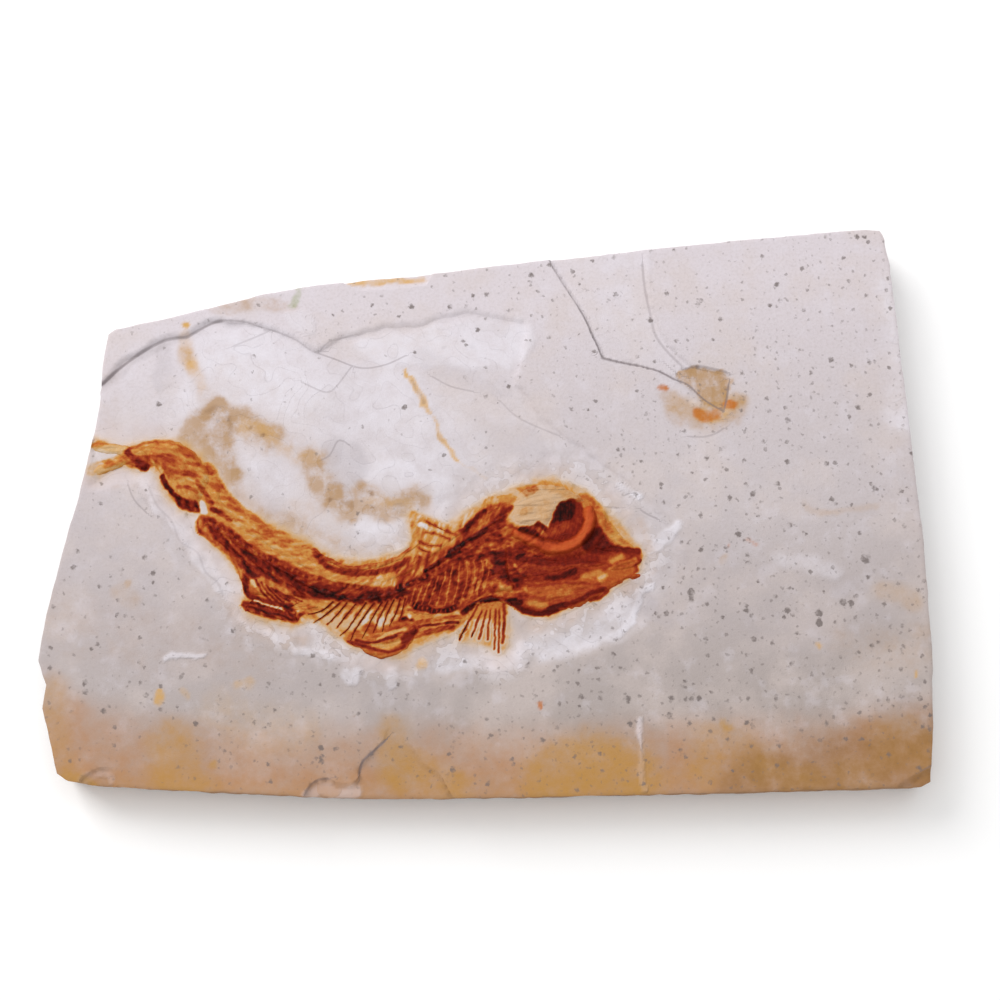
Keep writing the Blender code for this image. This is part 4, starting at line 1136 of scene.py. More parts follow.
    (0.28, 0.5, 0.6, (500, 585, 510, 590)),
    (0.16, 0.2, 0.9, (600, 578, 605, 575)),
    (0.28, 0.2, 0.9, (530, 604, 545, 606)),
    (0.84, 0.45, 0.4, (508, 600, 516, 605, 524, 611, 536, 614, 548, 613, 556, 610)),
    (0.92, 0.5, 0.4, (510, 600, 520, 603)),
    (0.88, 0.4, 0.35, (548, 610, 558, 606, 566, 605)),
    (0.76, 0.4, 0.35, (566, 605, 582, 599, 592, 592, 604, 588)),
    (0.62, 0.35, 0.35, (590, 600, 600, 596, 606, 590)),
)
BODY_LINE = (90, 455, 150, 455, 200, 500, 262, 556, 318, 590, 375, 598, 416, 578, 469, 538, 508, 511)
VERTEBRAE = (216, 524, 235, 539, 256, 552, 284, 566, 305, 575, 335, 583, 376, 588, 404, 586, 424, 576,
             446, 562)
KEEL_LINE = (411, 602, 420, 607, 433, 610, 446, 610, 458, 605)
# Beads along the backbone and the keel: their line, its step, how far out they end and are whole, their
# spacing (mm), where along it they start and are whole, and how strong they are
BEADS = ((VERTEBRAE, 0.5, 0.42, 0.16, 1.15, -0.1, 0.7, 0.85), (KEEL_LINE, 1.0, 0.5, 0.2, 0.75, 0.0, 0.8, 0.7))
BEAD_IRON = 0.42
HEAD_LINE = (490, 590, 530, 580, 580, 572, 640, 556)
RING_LINE = (508, 526, 520, 538, 545, 549, 570, 552, 590, 545, 602, 530, 602, 512)
BELLY_RAYS = (
    ((333, 601), (322, 610), (308, 614)), ((340, 602), (327, 613), (314, 622)),
    ((347, 602), (337, 614), (327, 624)), ((356, 603), (345, 616), (337, 627)),
    ((366, 602), (356, 616), (348, 628), (340, 635)), ((374, 602), (364, 616), (356, 628), (350, 641)),
    ((382, 601), (372, 618), (366, 630), (362, 638)), ((388, 600), (380, 616), (373, 632)),
    ((394, 599), (386, 616), (382, 632)), ((400, 598), (396, 612), (389, 626)),
    ((405, 598), (402, 611), (399, 621)))
RIBS = (
    ((412, 589), (409, 596), (405, 603)), ((419, 585), (415, 595), (411, 604)),
    ((427, 580), (422, 592), (418, 604)), ((434, 576), (430, 590), (426, 604)),
    ((442, 571), (438, 587), (433, 604)), ((449, 566), (446, 584), (441, 604)),
    ((457, 562), (455, 580), (449, 603)), ((464, 560), (463, 577), (457, 602)),
    ((471, 559), (471, 573), (465, 598)), ((478, 559), (479, 570), (473, 594)),
    ((485, 562), (485, 574), (480, 590)))
PECTORAL_RAYS = (
    ((478, 605), (468, 622), (459, 639)), ((483, 605), (477, 620), (472, 636)),
    ((487, 604), (483, 621), (479, 638)), ((491, 604), (489, 621), (487, 639)),
    ((495, 604), (495, 625), (494, 649)), ((499, 604), (499, 627), (498, 652)),
    ((504, 604), (504, 622), (502, 642)))
DORSAL_RAYS = (
    ((456, 534), (444, 530), (432, 524), (425, 520)), ((450, 539), (438, 534), (426, 532)),
    ((440, 545), (428, 545), (418, 540)), ((430, 552), (423, 550), (416, 546)))


def fine_strokes() -> list[Stroke]:
    """Draw the iron that follows the rays: dark lines along them, partly their own stain and partly painted
    shade round their feet, and gold or pale stone between them.

    Returns:
        The strokes, from the lowest up.
    """
    strokes: list[Stroke] = [(0.21, 0, 0.8, ((416, 516), (430, 519), (448, 528), (460, 533), (446, 546),
                                             (424, 550), (414, 536))),
                             (0.22, 0.4, 0.9, ((413, 514), (417, 522), (416, 536), (413, 548))),
                             (0.05, 0.4, 0.5, ((420, 524), (426, 526)))]
    # The thin dark line drawn along each ray and rib is partly its own stain and partly painted shade round
    # its foot
    for ray in BELLY_RAYS:
        strokes += [(0.36, 0.3, 0.4, ray[:2]), (0.5, 0.02, 0.22, ray)]
    for rib in RIBS:
        strokes += [(0.64, 0.08, 0.25, rib), (0.34, 0.05, 0.2, tuple((x + 3.6, y + 0.5) for x, y in rib))]
    for ray in PECTORAL_RAYS:
        strokes += [(0.26, 0.35, 0.4, ray[:2]), (0.07, 0.45, 0.5, ray[1:]), (0.64, 0.1, 0.22, ray)]
    strokes += [(0.32, 0.6, 0.6, ((483, 607), (494, 605), (504, 607))), (0.62, 0.2, 0.3, PECTORAL_RAYS[-1])]
    for ray in DORSAL_RAYS:
        beside = tuple((x - 3.0, y + 3.0) for x, y in ray[1:-1])
        strokes += [(0.15, 0.25, 0.35, beside), (0.42, 0.1, 0.4, ray)]
    for start in range(6):
        strokes.append((0.66, 0.12, 0.2, (256 + 5 * start, 580 + 2.6 * start, 262 + 6 * start, 592 + start,
                                          272 + 6 * start, 601)))
    return strokes


def iron_in(xy: np.ndarray, bare: float | None = None) -> np.ndarray:
    """Work out how much iron has soaked in at each point of the fish and round it.

    Args:
        xy: Rows of X and Y in millimetres.
        bare: The level where nothing is drawn, or none for stone, where it fades out round the fish.

    Returns:
        Levels from 0, bare stone, to 1, black.
    """
    spots = warped(warped(xy, 2.2, 0.25, 43), 0.7, 0.15, 41)
    fringe: np.ndarray | float = bare or 0.0
    if bare is None:
        edge = depth_inside(warped(spots, 1.4, 0.5, 45), curve(FISH, closed=True), 5.0)
        fringe = ramp(edge, -1.6, 1.2)
        fringe = fringe * (0.12 + 0.08 * fringe) + 0.045 * ramp(edge, -4.5, -0.5)
    marks = [Mark(places, width, soft, level=level)
             for level, width, soft, places in (*BASE_STROKES, *fine_strokes())]
    level = lay(spots, marks, fringe)
    body = measure(spots, curve(BODY_LINE), False, 6.0)
    slanted = np.column_stack([(body.run - body.far) * 0.8, body.far * body.side - body.run * 0.25])
    level += (ripple(slanted, 0.75, 71, 2) - 0.5) * 1.3 * np.clip(level, 0.0, 0.5) * ramp(level, 0.12, 0.2)
    for places, step, outer, inner, pitch, low, high, share in BEADS:
        row = measure(spots, curve(places, step), False, 2.0)
        beads = ramp(-row.far, -outer, -inner) * ramp(np.cos(row.run * math.tau / pitch), low, high)
        level += (BEAD_IRON - level) * beads * share
    return np.clip(level, 0.0, 1.0)


# ------------------------------------------------------------------------------ the plate
@dataclass(frozen=True)
class Ledge:
    """A step in the face: stone inside the outline lies lower.

    Attributes:
        places: The outline, in the camera's frame.
        depth: How much lower it lies, in millimetres.
        run: Width of its sloping edge, in millimetres.
        worn_run: Width of the slope on the belly side, where the edge is worn away; 0 for no such side.
        tilt: How much higher its floor gets for each millimetre along X and along Y.
        ragged: How far its edge wanders, in millimetres.
    """

    places: Places
    depth: float
    run: float
    worn_run: float = 0.0
    tilt: tuple[float, float] = (0.0, 0.0)
    ragged: float = 0.3

    def outline(self) -> np.ndarray:
        """Give the outline with its corners kept.

        Returns:
            Rows of X and Y in millimetres.
        """
        corners = on_face(self.places)
        runs = [np.linspace(a, b, max(2, int(np.hypot(*(b - a)) / 0.7) + 1), endpoint=False)
                for a, b in zip(corners, np.roll(corners, -1, 0))]
        return warped(warped(np.concatenate(runs), 4.0, self.ragged, 5), 1.3, self.ragged * 0.4, 8)

    def drop(self, xy: np.ndarray) -> np.ndarray:
        """Work out how far the face drops at each point.

        Args:
            xy: Rows of X and Y in millimetres.

        Returns:
            One drop in millimetres for each point.
        """
        outline = self.outline()
        inside = depth_inside(xy, outline, 3.0)
        middle = outline.mean(0)
        floor = self.depth - (xy[:, 0] - middle[0]) * self.tilt[0] - (xy[:, 1] - middle[1]) * self.tilt[1]
        belly = ramp(-xy[:, 1] - xy[:, 0] * 0.16, -1.0, 5.0) if self.worn_run else 0.0
        run = self.run + (self.worn_run - self.run) * belly
        return ramp(inside / run, -0.5, 0.5) * np.clip(floor, 0.05, 1.4)


LEDGES = (Ledge(CLEARED, 0.5, 0.6, 2.2, (0.004, 0.0), 0.7), Ledge(STRIP, 0.45, 0.12, tilt=(0.018, 0.012)),
          Ledge(NEAR_CHIP, 0.7, 0.2, tilt=(0.0, 0.07)), Ledge(TAIL_CHIP, 0.8, 0.3, tilt=(0.0, 0.10)),
          Ledge(SNOUT_CHIP, 0.8, 0.3, tilt=(-0.06, 0.08)), Ledge(FAR_CHIP, 0.7, 0.3, tilt=(0.0, -0.14)))


@dataclass
class Plate:
    """The limestone plate: its bedding face, broken sides and flat back.

    Attributes:
        stone: Its finish.
        columns: Cells along the plate.
        rows: Cells across it.
        fine_columns: Share of the length, from the tail side, and of the columns, that is finely cut.
        fine_rows: Where the finely cut rows start and end, and the share of the rows below and above.
        trough_depth: Extra depth close to the bones, in millimetres.
        swell: Height of the face's gentle swells.
        arris: How far the rounded upper edge draws the face's rim in.
        bites: Where the chisel bites start and end along the fish's outline, and how far apart they
            are, as shares of it.
        bite_depth: How deep a bite is.
        beds: For each level of the sides: height, and how far that bed steps back.
    """

    stone: bpy.types.Material
    columns: int = 348
    rows: int = 228
    fine_columns: tuple[float, float] = (0.74, 0.79)
    fine_rows: tuple[float, float, float, float] = (0.17, 0.80, 0.13, 0.83)
    trough_depth: float = 0.15
    swell: float = 0.10
    arris: float = 0.3
    bites: tuple[float, float, float] = (0.30, 0.93, 0.011)
    bite_depth: float = 0.14
    beds: tuple[tuple[float, float], ...] = (
        (9.1, 0.02), (8.3, 0.02), (8.15, 0.05), (7.2, 0.10), (6.5, 0.12), (6.35, 0.18), (5.4, 0.22),
        (4.4, 0.20), (4.25, 0.25), (3.2, 0.22), (2.4, 0.26), (2.25, 0.32), (1.2, 0.35), (0.45, 0.45),
        (0.0, 0.8))

    def side_point(self, side: tuple[Place, ...], share: np.ndarray, axis: int) -> np.ndarray:
        """Find points of a side.

        Args:
            side: The side's corners.
            share: The points' shares of its reach.
            axis: The axis that the reach is taken along, 0 for X or 1 for Y.

        Returns:
            Rows of X and Y in millimetres.
        """
        corners = np.array(side)
        corners = corners[np.argsort(corners[:, axis])]
        along = corners[0, axis] + share * (corners[-1, axis] - corners[0, axis])
        other = np.interp(along, corners[:, axis], corners[:, 1 - axis])
        return np.stack([along, other] if axis == 0 else [other, along], 1)

    def spread(self, u: np.ndarray, v: np.ndarray) -> np.ndarray:
        """Map shares of the length and width to points between the plate's four sides.

        Args:
            u: Shares of the length.
            v: Shares of the width.

        Returns:
            Rows of X and Y in millimetres.
        """
        near, far = self.side_point(NEAR_SIDE, u, 0), self.side_point(FAR_SIDE, u, 0)
        tail, snout = self.side_point(TAIL_SIDE, v, 1), self.side_point(SNOUT_SIDE, v, 1)
        u, v = u[:, None], v[:, None]
        corners = [np.array(place) for place in (NEAR_SIDE[0], NEAR_SIDE[-1], FAR_SIDE[0], FAR_SIDE[-1])]
        bilinear = ((1 - u) * (1 - v) * corners[0] + u * (1 - v) * corners[1]
                    + (1 - u) * v * corners[2] + u * v * corners[3])
        return (1 - v) * near + v * far + (1 - u) * tail + u * snout - bilinear

    def drawn_to(self, xy: np.ndarray, line: np.ndarray, reach: float) -> np.ndarray:
        """Draw the points near a closed line towards it, so that a step there is sharp.

        Args:
            xy: Rows of X and Y in millimetres.
            line: The line's points.
            reach: How far from the line points are drawn.

        Returns:
            The drawn points.
        """
        lie = measure(xy, line, True, reach + 1.0)
        share = np.clip(lie.far / reach, 0.0, 1.0)
        return xy + lie.off * np.where(share < 1.0, share**2 - 1.0, 0.0)[:, None]

    def surface(self, xy: np.ndarray) -> np.ndarray:
        """Work out the bedding face's height.

        Args:
            xy: Rows of X and Y in millimetres.

        Returns:
            One height in millimetres for each point.
        """
        height = FACE_LEVEL + (ripple(xy, 22.0, 3, 4) - 0.5) * self.swell
        for ledge in LEDGES:
            height -= ledge.drop(xy)
        fish = curve(FISH, closed=True)
        beside = depth_inside(xy, fish, 6.0)
        height -= self.trough_depth * ramp(beside, -3.5, -1.2) * (1.0 - ramp(beside, -0.8, 0.6))
        height -= self.bitten(xy, fish)
        return height + (ripple(xy, 1.6, 9, 2) - 0.5) * 0.05

    def bitten(self, xy: np.ndarray, fish: np.ndarray) -> np.ndarray:
        """Sink the overlapping chisel bites that ring the belly, the fins and the head.

        Args:
            xy: Rows of X and Y in millimetres.
            fish: The fish's outline.

        Returns:
            How deep the bites are at each point, in millimetres.
        """
        drop = np.zeros(len(xy))
        lengths = np.concatenate([[0.0], np.cumsum(np.hypot(*np.diff(fish, axis=0).T))])
        chance = np.random.default_rng(4)
        for where in np.arange(*self.bites) * lengths[-1]:
            spot, ahead = (np.array([np.interp(place, lengths, fish[:, axis]) for axis in (0, 1)])
                           for place in (where, where + 0.5))
            outward = np.array([spot[1] - ahead[1], ahead[0] - spot[0]]) * 2.0
            centre = spot + outward * chance.uniform(1.2, 4.2)
            gap = np.hypot(*(xy - centre).T) / chance.uniform(0.9, 1.9)
            drop = np.maximum(drop, np.where(gap < 1.0, (1.0 - gap**2) * self.bite_depth, 0.0))
        return drop

    def mesh(self) -> bmesh.types.BMesh:
        """Make the plate's cells: a grid for the face, walls pulled from its rim, and the back.

        Returns:
            The closed block, each level of its walls one lower than the last.
        """
        bm = bmesh.new()
        bmesh.ops.create_grid(bm, x_segments=self.columns, y_segments=self.rows, size=1.0)
        rim = [edge for edge in bm.edges if edge.is_boundary]
        for _ in self.beds:
            pulled = bmesh.ops.extrude_edge_only(bm, edges=rim)["geom"]
            rim = [part for part in pulled if isinstance(part, bmesh.types.BMEdge)]
            bmesh.ops.translate(bm, verts=[part for part in pulled if isinstance(part, bmesh.types.BMVert)],
                                vec=(0.0, 0.0, -1.0))
        bmesh.ops.triangle_fill(bm, edges=rim, use_beauty=True)
        bmesh.ops.recalc_face_normals(bm, faces=bm.faces)
        return bm

    def shape(self, raw: np.ndarray) -> tuple[np.ndarray, np.ndarray]:
        """Move the cells' corners from their plain places to the real plate's.

        Args:
            raw: The corners' plain places.

        Returns:
            Their real places, and where they would lie with the sides folded up flat with the face.
        """
        shares = raw[:, :2] / np.abs(raw[:, :2]).max(0) / 2 + 0.5
        level = np.rint(-raw[:, 2]).astype(int)
        split_u, share_u = self.fine_columns
        start_v, end_v, below, above = self.fine_rows
        u = np.interp(shares[:, 0], (0.0, share_u, 1.0), (0.0, split_u, 1.0))
        v = np.interp(shares[:, 1], (0.0, below, above, 1.0), (0.0, start_v, end_v, 1.0))
        xy = warped(self.spread(u, v), 2.6, 0.12, 21)
        face = level == 0
        inner = face & (u > 0.0) & (u < 1.0) & (v > 0.0) & (v < 1.0)
        for ledge in LEDGES:
            xy[inner] = self.drawn_to(xy[inner], ledge.outline(), 0.7)
        around = self.outward(u, v)
        xy[face] *= 1.0 - self.arris / np.array([74.0, 48.9])
        heights = self.surface(xy)
        unrolled = xy.copy()
        for number, (height, back) in enumerate(self.beds, start=1):
            ring = level == number
            spots = unrolled[ring].copy()
            unrolled[ring] += around[ring] * (FACE_LEVEL - height)
            loose = 0.6 * ripple(spots, 9.0, number, 3) + 0.4 * ripple(spots, 2.2, number + 40, 2)
            xy[ring] -= around[ring] * (back + (loose - 0.2) * min(0.75, 9.4 - height))[:, None]
            heights[ring] = np.minimum(height, heights[ring] - 0.12 * number) if number < 4 else height
        return np.column_stack([xy, heights]), unrolled

    def outward(self, u: np.ndarray, v: np.ndarray) -> np.ndarray:
        """Find the outward direction at each place of the rim.

        Args:
            u: Its shares of the length.
            v: Its shares of the width.

        Returns:
            Rows of X and Y, 1 long on the rim and 0 inside it.
        """
        way = np.column_stack([(share >= 1.0) * 1.0 - (share <= 0.0) for share in (u, v)])
        return way / np.maximum(np.hypot(*way.T), 1e-9)[:, None]

    def build(self) -> bpy.types.Object:
        """Build and dress the plate.

        Returns:
            The piece that stands for the CAD plate.
        """
        piece = add_piece("limestone_plate", self.mesh(), self.stone)
        mesh = piece.data
        placed, unrolled = self.shape(positions(mesh))
        move_to(mesh, placed)
        mesh.set_sharp_from_angle(angle=math.radians(50.0))
        keep(mesh, "side", ramp(-placed[:, 2], 1.4 - FACE_LEVEL, 2.2 - FACE_LEVEL))
        dress_stone(mesh, unrolled)
        stand_for(piece, "slab")
        return piece


def dress_stone(mesh: bpy.types.Mesh, xy: np.ndarray) -> None:
    """Store the stone's stains, painted shade, cracks, specks and chisel marks, and the iron in it.

    Args:
        mesh: The mesh to dress.
        xy: Its vertices' places, in millimetres, with the sides folded up flat with the face.
    """
    beside = depth_inside(xy, curve(FISH, closed=True), 9.0)
    ring = 1.0 - ramp(beside, -0.6, 0.4)
    chiselled = ring * ramp(beside, -6.0, -3.5) * ramp(xy[:, 0] - xy[:, 1] * 1.6, -35.0, 10.0)
    keep(mesh, "chiselled", chiselled * ramp(ripple(xy, 4.0, 37, 2), 0.25, 0.55))
    halo = ring * ramp(beside, -4.2, -1.0) * ramp(ripple(xy, 3.0, 38, 3), 0.2, 0.8) * 0.45
    under = {Paint.WHITE: halo, Paint.BUFF: ring * ramp(beside, -6.0, -0.8) * 0.34}
    spots = warped(warped(xy, 5.0, 1.0, 33), 1.6, 0.45, 31)
    for paint, marks in STONE_MARKS.items():
        keep(mesh, paint.attribute, lay(spots, marks, under.get(paint, 0.0)))
    across, strength = np.full(len(xy), 9.0), np.zeros(len(xy))
    for dark, width, crack_and_shade in CRACKS_AND_LEDGE_SHADE:
        lie = measure(xy, smooth_line(warped(on_face(crack_and_shade), 3.0, 0.3, 35), 1.0), False, 3.0)
        nearer = lie.far / width < np.abs(across)
        across = np.where(nearer, lie.far * lie.side / width, across)
        faded = ramp(-lie.far, -2.5, -1.0) * dark * (0.55 + 0.45 * ripple(xy, 5.0, 36, 2))
        strength = np.where(nearer, faded, strength)
    keep(mesh, "crack_and_shade", across)
    keep(mesh, "crack_and_shade_strength", strength)
    # Painted shade: 0 at the far side, rising to 1 towards the near side and the right, where the stone is
    # darkened as if the light falls off
    keep(mesh, "lower", np.clip((35.0 - xy[:, 1]) / 72.0 + xy[:, 0] / 650.0, 0.0, 1.0))
    cleared = ramp(depth_inside(xy, on_face(CLEARED), 4.0), -1.0, 0.0)
    dense = ramp(xy[:, 0] - xy[:, 1] * 0.9, -40.0, 60.0)
    keep(mesh, "speckled", np.clip(0.42 + 0.58 * dense - 0.28 * cleared, 0.02, 1.0))
    keep_place(mesh, "unrolled", xy)
    dress(mesh, xy, BODY_LINE, np.ones(len(xy)), iron_in(xy))


# ------------------------------------------------------------------------------ the bones
def base_outline(node: str) -> np.ndarray:
    """Read the outline of a CAD node's flat underside.

    Args:
        node: The node's name.

    Returns:
        Rows of X and Y in millimetres, in order round it.
    """
    bm = bmesh.new()
    bm.from_mesh(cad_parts[node].data)
    bmesh.ops.remove_doubles(bm, verts=bm.verts, dist=1e-7)
    low = min(vert.co.z for vert in bm.verts) + 1e-5
    under = {face for face in bm.faces if all(vert.co.z < low for vert in face.verts)}
    rim = {edge for edge in bm.edges if len(under.intersection(edge.link_faces)) == 1}
    edge = rim.pop()
    walk = [edge.verts[0], edge.verts[1]]
    while rim:
        step = next((e for e in walk[-1].link_edges if e in rim), None)
        if step is None:
            break
        rim.discard(step)
        walk.append(step.other_vert(walk[-1]))
    outline = np.array([vert.co[:2] for vert in walk[:-1]]) / MM
    bm.free()
    return outline


def dress(mesh: bpy.types.Mesh, xy: np.ndarray, grain: Places, rim: np.ndarray,
          iron: np.ndarray) -> None:
    """Store a piece's iron, its grain and how near each point is to its rim.

    Args:
        mesh: The mesh to dress.
        xy: Its vertices' places, in millimetres.
        grain: The line that its grain follows.
        rim: How far each vertex is from the rim, in millimetres.
        iron: How much iron has soaked in at each vertex.
    """
    lie = measure(xy, curve(grain), False, 12.0)
    keep(mesh, "along", lie.run * MM)
    keep(mesh, "across", lie.far * lie.side * MM)
    keep(mesh, "rim", rim)
    keep(mesh, "iron", iron)


def sheet(outline: np.ndarray, cell: float) -> bmesh.types.BMesh:
    """Cut a fine grid to an outline and close it below.

    Args:
        outline: The outline's points, in millimetres.
        cell: Size of the grid's cells.

    Returns:
        The closed sheet, with its top at 0 and its skirt and underside at -1.
    """
    low, high = outline.min(0) - cell, outline.max(0) + cell
    columns, rows = (int(count) for count in np.ceil((high - low) / cell))
    bm = bmesh.new()
    bmesh.ops.create_grid(bm, x_segments=columns, y_segments=rows, size=1.0)
    reach = max(vert.co.x for vert in bm.verts)
    bmesh.ops.scale(bm, verts=bm.verts, vec=(*(high - low) / 2 / reach, 1.0))
    bmesh.ops.translate(bm, verts=bm.verts, vec=(*(high + low) / 2, 0.0))
    middles = np.array([face.calc_center_median()[:2] for face in bm.faces])
    outside = depth_inside(middles, outline, 1.0) < 0.0
    bmesh.ops.delete(bm, geom=[face for face, out in zip(bm.faces, outside) if out], context="FACES")
    rim = [vert for vert in bm.verts if vert.is_boundary]
    lie = measure(np.array([vert.co[:2] for vert in rim]), outline, True, 2.0)
    for vert, off in zip(rim, lie.off):
        vert.co.x -= off[0]
        vert.co.y -= off[1]
    pulled = bmesh.ops.extrude_edge_only(bm, edges=[edge for edge in bm.edges if edge.is_boundary])["geom"]
    skirt = [part for part in pulled if isinstance(part, bmesh.types.BMVert)]
    bmesh.ops.translate(bm, verts=skirt, vec=(0.0, 0.0, -1.0))
    bmesh.ops.triangle_fill(bm, edges=[part for part in pulled if isinstance(part, bmesh.types.BMEdge)],
                            use_beauty=True)
    bmesh.ops.recalc_face_normals(bm, faces=bm.faces)
    return bm


@dataclass
class StainedBed:
    """The stained stone and skin between the bones, which lies over the plate's hollow like a film.

    Attributes:
        plate: The plate that it lies on.
        margin: How far it reaches past the fish, in millimetres.
        rise: How far it stands over the plate, in millimetres.
        dip: How far its rim lies under the plate's face.
        brow: How far it swells up under the eye's ring.
        cell: Size of its cells.
    """

    plate: Plate
    margin: float = 1.2
    rise: float = 0.06
    dip: float = 0.12
    brow: float = 0.4
    cell: float = 0.165

    def build(self) -> bpy.types.Object:
        """Build and dress the bed.

        Returns:
            The piece.
        """
        outline = pushed_out(curve(FISH, 0.8, True), self.margin)
        tail = np.interp(outline[:, 1], *np.array(TAIL_SIDE).T[::-1])
        outline[:, 0] = np.maximum(outline[:, 0], tail + 0.45)
        piece = add_piece("stained_bed", sheet(outline, self.cell), self.plate.stone)
        mesh = piece.data
        placed = positions(mesh)
        skirt = placed[:, 2] < -0.5
        xy = placed[:, :2]
        inside = np.maximum(depth_inside(xy, outline, 2.5), 0.0)
        dress_stone(mesh, xy)
        relief = np.abs(iron_in(xy) - 0.3) * 0.2 + (ripple(xy, 0.7, 81, 3) - 0.5) * 0.12
        placed[:, 2] = self.plate.surface(xy) - self.dip + (self.rise + self.dip) * ramp(inside, 0.0, 0.8)
        placed[:, 2] += ramp(inside, 0.6, 1.6) * relief
        eye = measure(xy, curve(RING_LINE, 0.5), False, 3.0)
        placed[:, 2] += self.brow * ramp(-eye.far, -1.1, -0.2)
        placed[skirt, 2] = SEAT - 0.3
        move_to(mesh, placed)
        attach(piece, "root")
        LOG.info("%s: %d faces", piece.name, len(mesh.polygons))
        return piece


@dataclass
class BoneSheet:
    """A flattened bone that stands for one CAD node and keeps its outline.

    Attributes:
        node: The node's name.
        material: Its finish.
        height: Height of its crown above the seat, in millimetres.
        round_over: Width over which its rim is rounded.
        grain: The line that its fibres follow.
        fibre: Height of its fibres.
        fibre_pitch: Spacing of the fibres.
        knots: Spacing of the swellings along it, such as vertebrae, or 0 for none.
        grow: How far its outline is pushed out over the gap to its neighbours.
        bare: The iron in it where no stroke is drawn.
        cell: Size of its cells.
    """

    node: str
    material: bpy.types.Material
    height: float
    round_over: float
    grain: Places = BODY_LINE
    fibre: float = 0.16
    fibre_pitch: float = 0.42
    knots: float = 0.0
    grow: float = 0.15
    bare: float = 0.34
    cell: float = 0.15

    def build(self) -> bpy.types.Object:
        """Build and dress the bone.

        Returns:
            The piece that stands for its node.
        """
        line = pushed_out(smooth_line(base_outline(self.node), 0.4, True), self.grow)
        outline = warped(warped(line, 1.6, 0.3, 51), 0.6, 0.14, 53)
        piece = add_piece(self.node + "_bone", sheet(outline, self.cell), self.material)
        mesh = piece.data
        placed = positions(mesh)
        skirt = placed[:, 2] < -0.5
        xy = placed[:, :2]
        inside = np.maximum(depth_inside(xy, outline, 2.0), 0.0)
        lie = measure(xy, curve(self.grain), False, 12.0)
        share = np.clip(inside / self.round_over, 0.0, 1.0)
        dome = 0.5 * np.sqrt(1.0 - (1.0 - share) ** 2) + 0.5 * ramp(share, 0.0, 1.0)
        threads = np.column_stack([lie.run * 0.15, lie.far * lie.side])
        relief = (ripple(threads, self.fibre_pitch, 61, 2) - 0.5) * 2.0 * self.fibre
        relief += (ripple(xy, 1.5, 62, 4) - 0.5) * 0.4
        if self.knots:
            dome = dome * (0.78 + 0.22 * np.abs(np.cos(math.pi * lie.run / self.knots)))
        placed[:, 2] = SEAT + self.height * dome * 0.95 + relief * share
        placed[skirt, 2] = SEAT - 0.12
        move_to(mesh, placed)
        dress(mesh, xy, self.grain, inside, iron_in(xy, self.bare))
        stand_for(piece, self.node)
        return piece


@dataclass
class RayFan:
    """A set of thin rays or ribs that stands for one CAD comb.

    Attributes:
        node: The comb's name.
        material: Its finish.
        rays: The line of each ray, in the camera's frame.
        thick: Radius at the root, in the middle and at the tip, in millimetres.
        level: Height of the rays' middle line above the seat.
        iron: The iron in them.
    """

    node: str
    material: bpy.types.Material
    rays: tuple[tuple[Place, ...], ...]
    thick: tuple[float, float, float]
    level: float
    iron: float = 0.84

    def strand(self, bm: bmesh.types.BMesh, line: np.ndarray) -> None:
        """Pull one tapering ray along its line, from a round root.

        Args:
            bm: The fan's shape, which the ray is added to.
            line: The ray's line: rows of X and Y in millimetres.
        """
        first = Vector((*line[0], SEAT + self.level))
        way = Vector((*(line[1] - line[0]), 0.0)).normalized()
        made = bmesh.ops.create_circle(bm, cap_ends=True, segments=6, radius=self.thick[0])["verts"]
        bmesh.ops.rotate(bm, verts=made, cent=(0, 0, 0), matrix=way.to_track_quat("Z", "Y").to_matrix())
        bmesh.ops.translate(bm, verts=made, vec=first)
        cap = next(iter({face for vert in made for face in vert.link_faces}))
        size = self.thick[0]
        for index in range(1, len(line)):
            share = index / (len(line) - 1)
            wanted = float(np.interp(share, (0.0, 0.55, 1.0), self.thick))
            cap = bmesh.ops.extrude_discrete_faces(bm, faces=[cap])["faces"][0]
            verts = list(cap.verts)
            here = Vector((*line[index], SEAT + self.level))
            ahead = Vector((*(line[min(index + 1, len(line) - 1)] - line[index - 1]), 0.0)).normalized()
            bmesh.ops.translate(bm, verts=verts, vec=here - first)
            bmesh.ops.rotate(bm, verts=verts, cent=here, matrix=way.rotation_difference(ahead).to_matrix())
            for vert in verts:
                vert.co = here + (vert.co - here) * (wanted / size)
            first, way, size = here, ahead, wanted

    def build(self) -> bpy.types.Object:
        """Build and dress the rays.

        Returns:
            The piece that stands for its node.
        """
        bm = bmesh.new()
        for ray in self.rays:
            self.strand(bm, curve(ray, 0.6))
        bmesh.ops.recalc_face_normals(bm, faces=bm.faces)
        piece = add_piece(self.node + "_rays", bm, self.material)
        xy = positions(piece.data)[:, :2]
        iron = self.iron + (ripple(xy, 1.5, 83, 2) - 0.5) * 0.3
        dress(piece.data, xy, self.rays[0], np.ones(len(xy)), iron)
        stand_for(piece, self.node)
        return piece


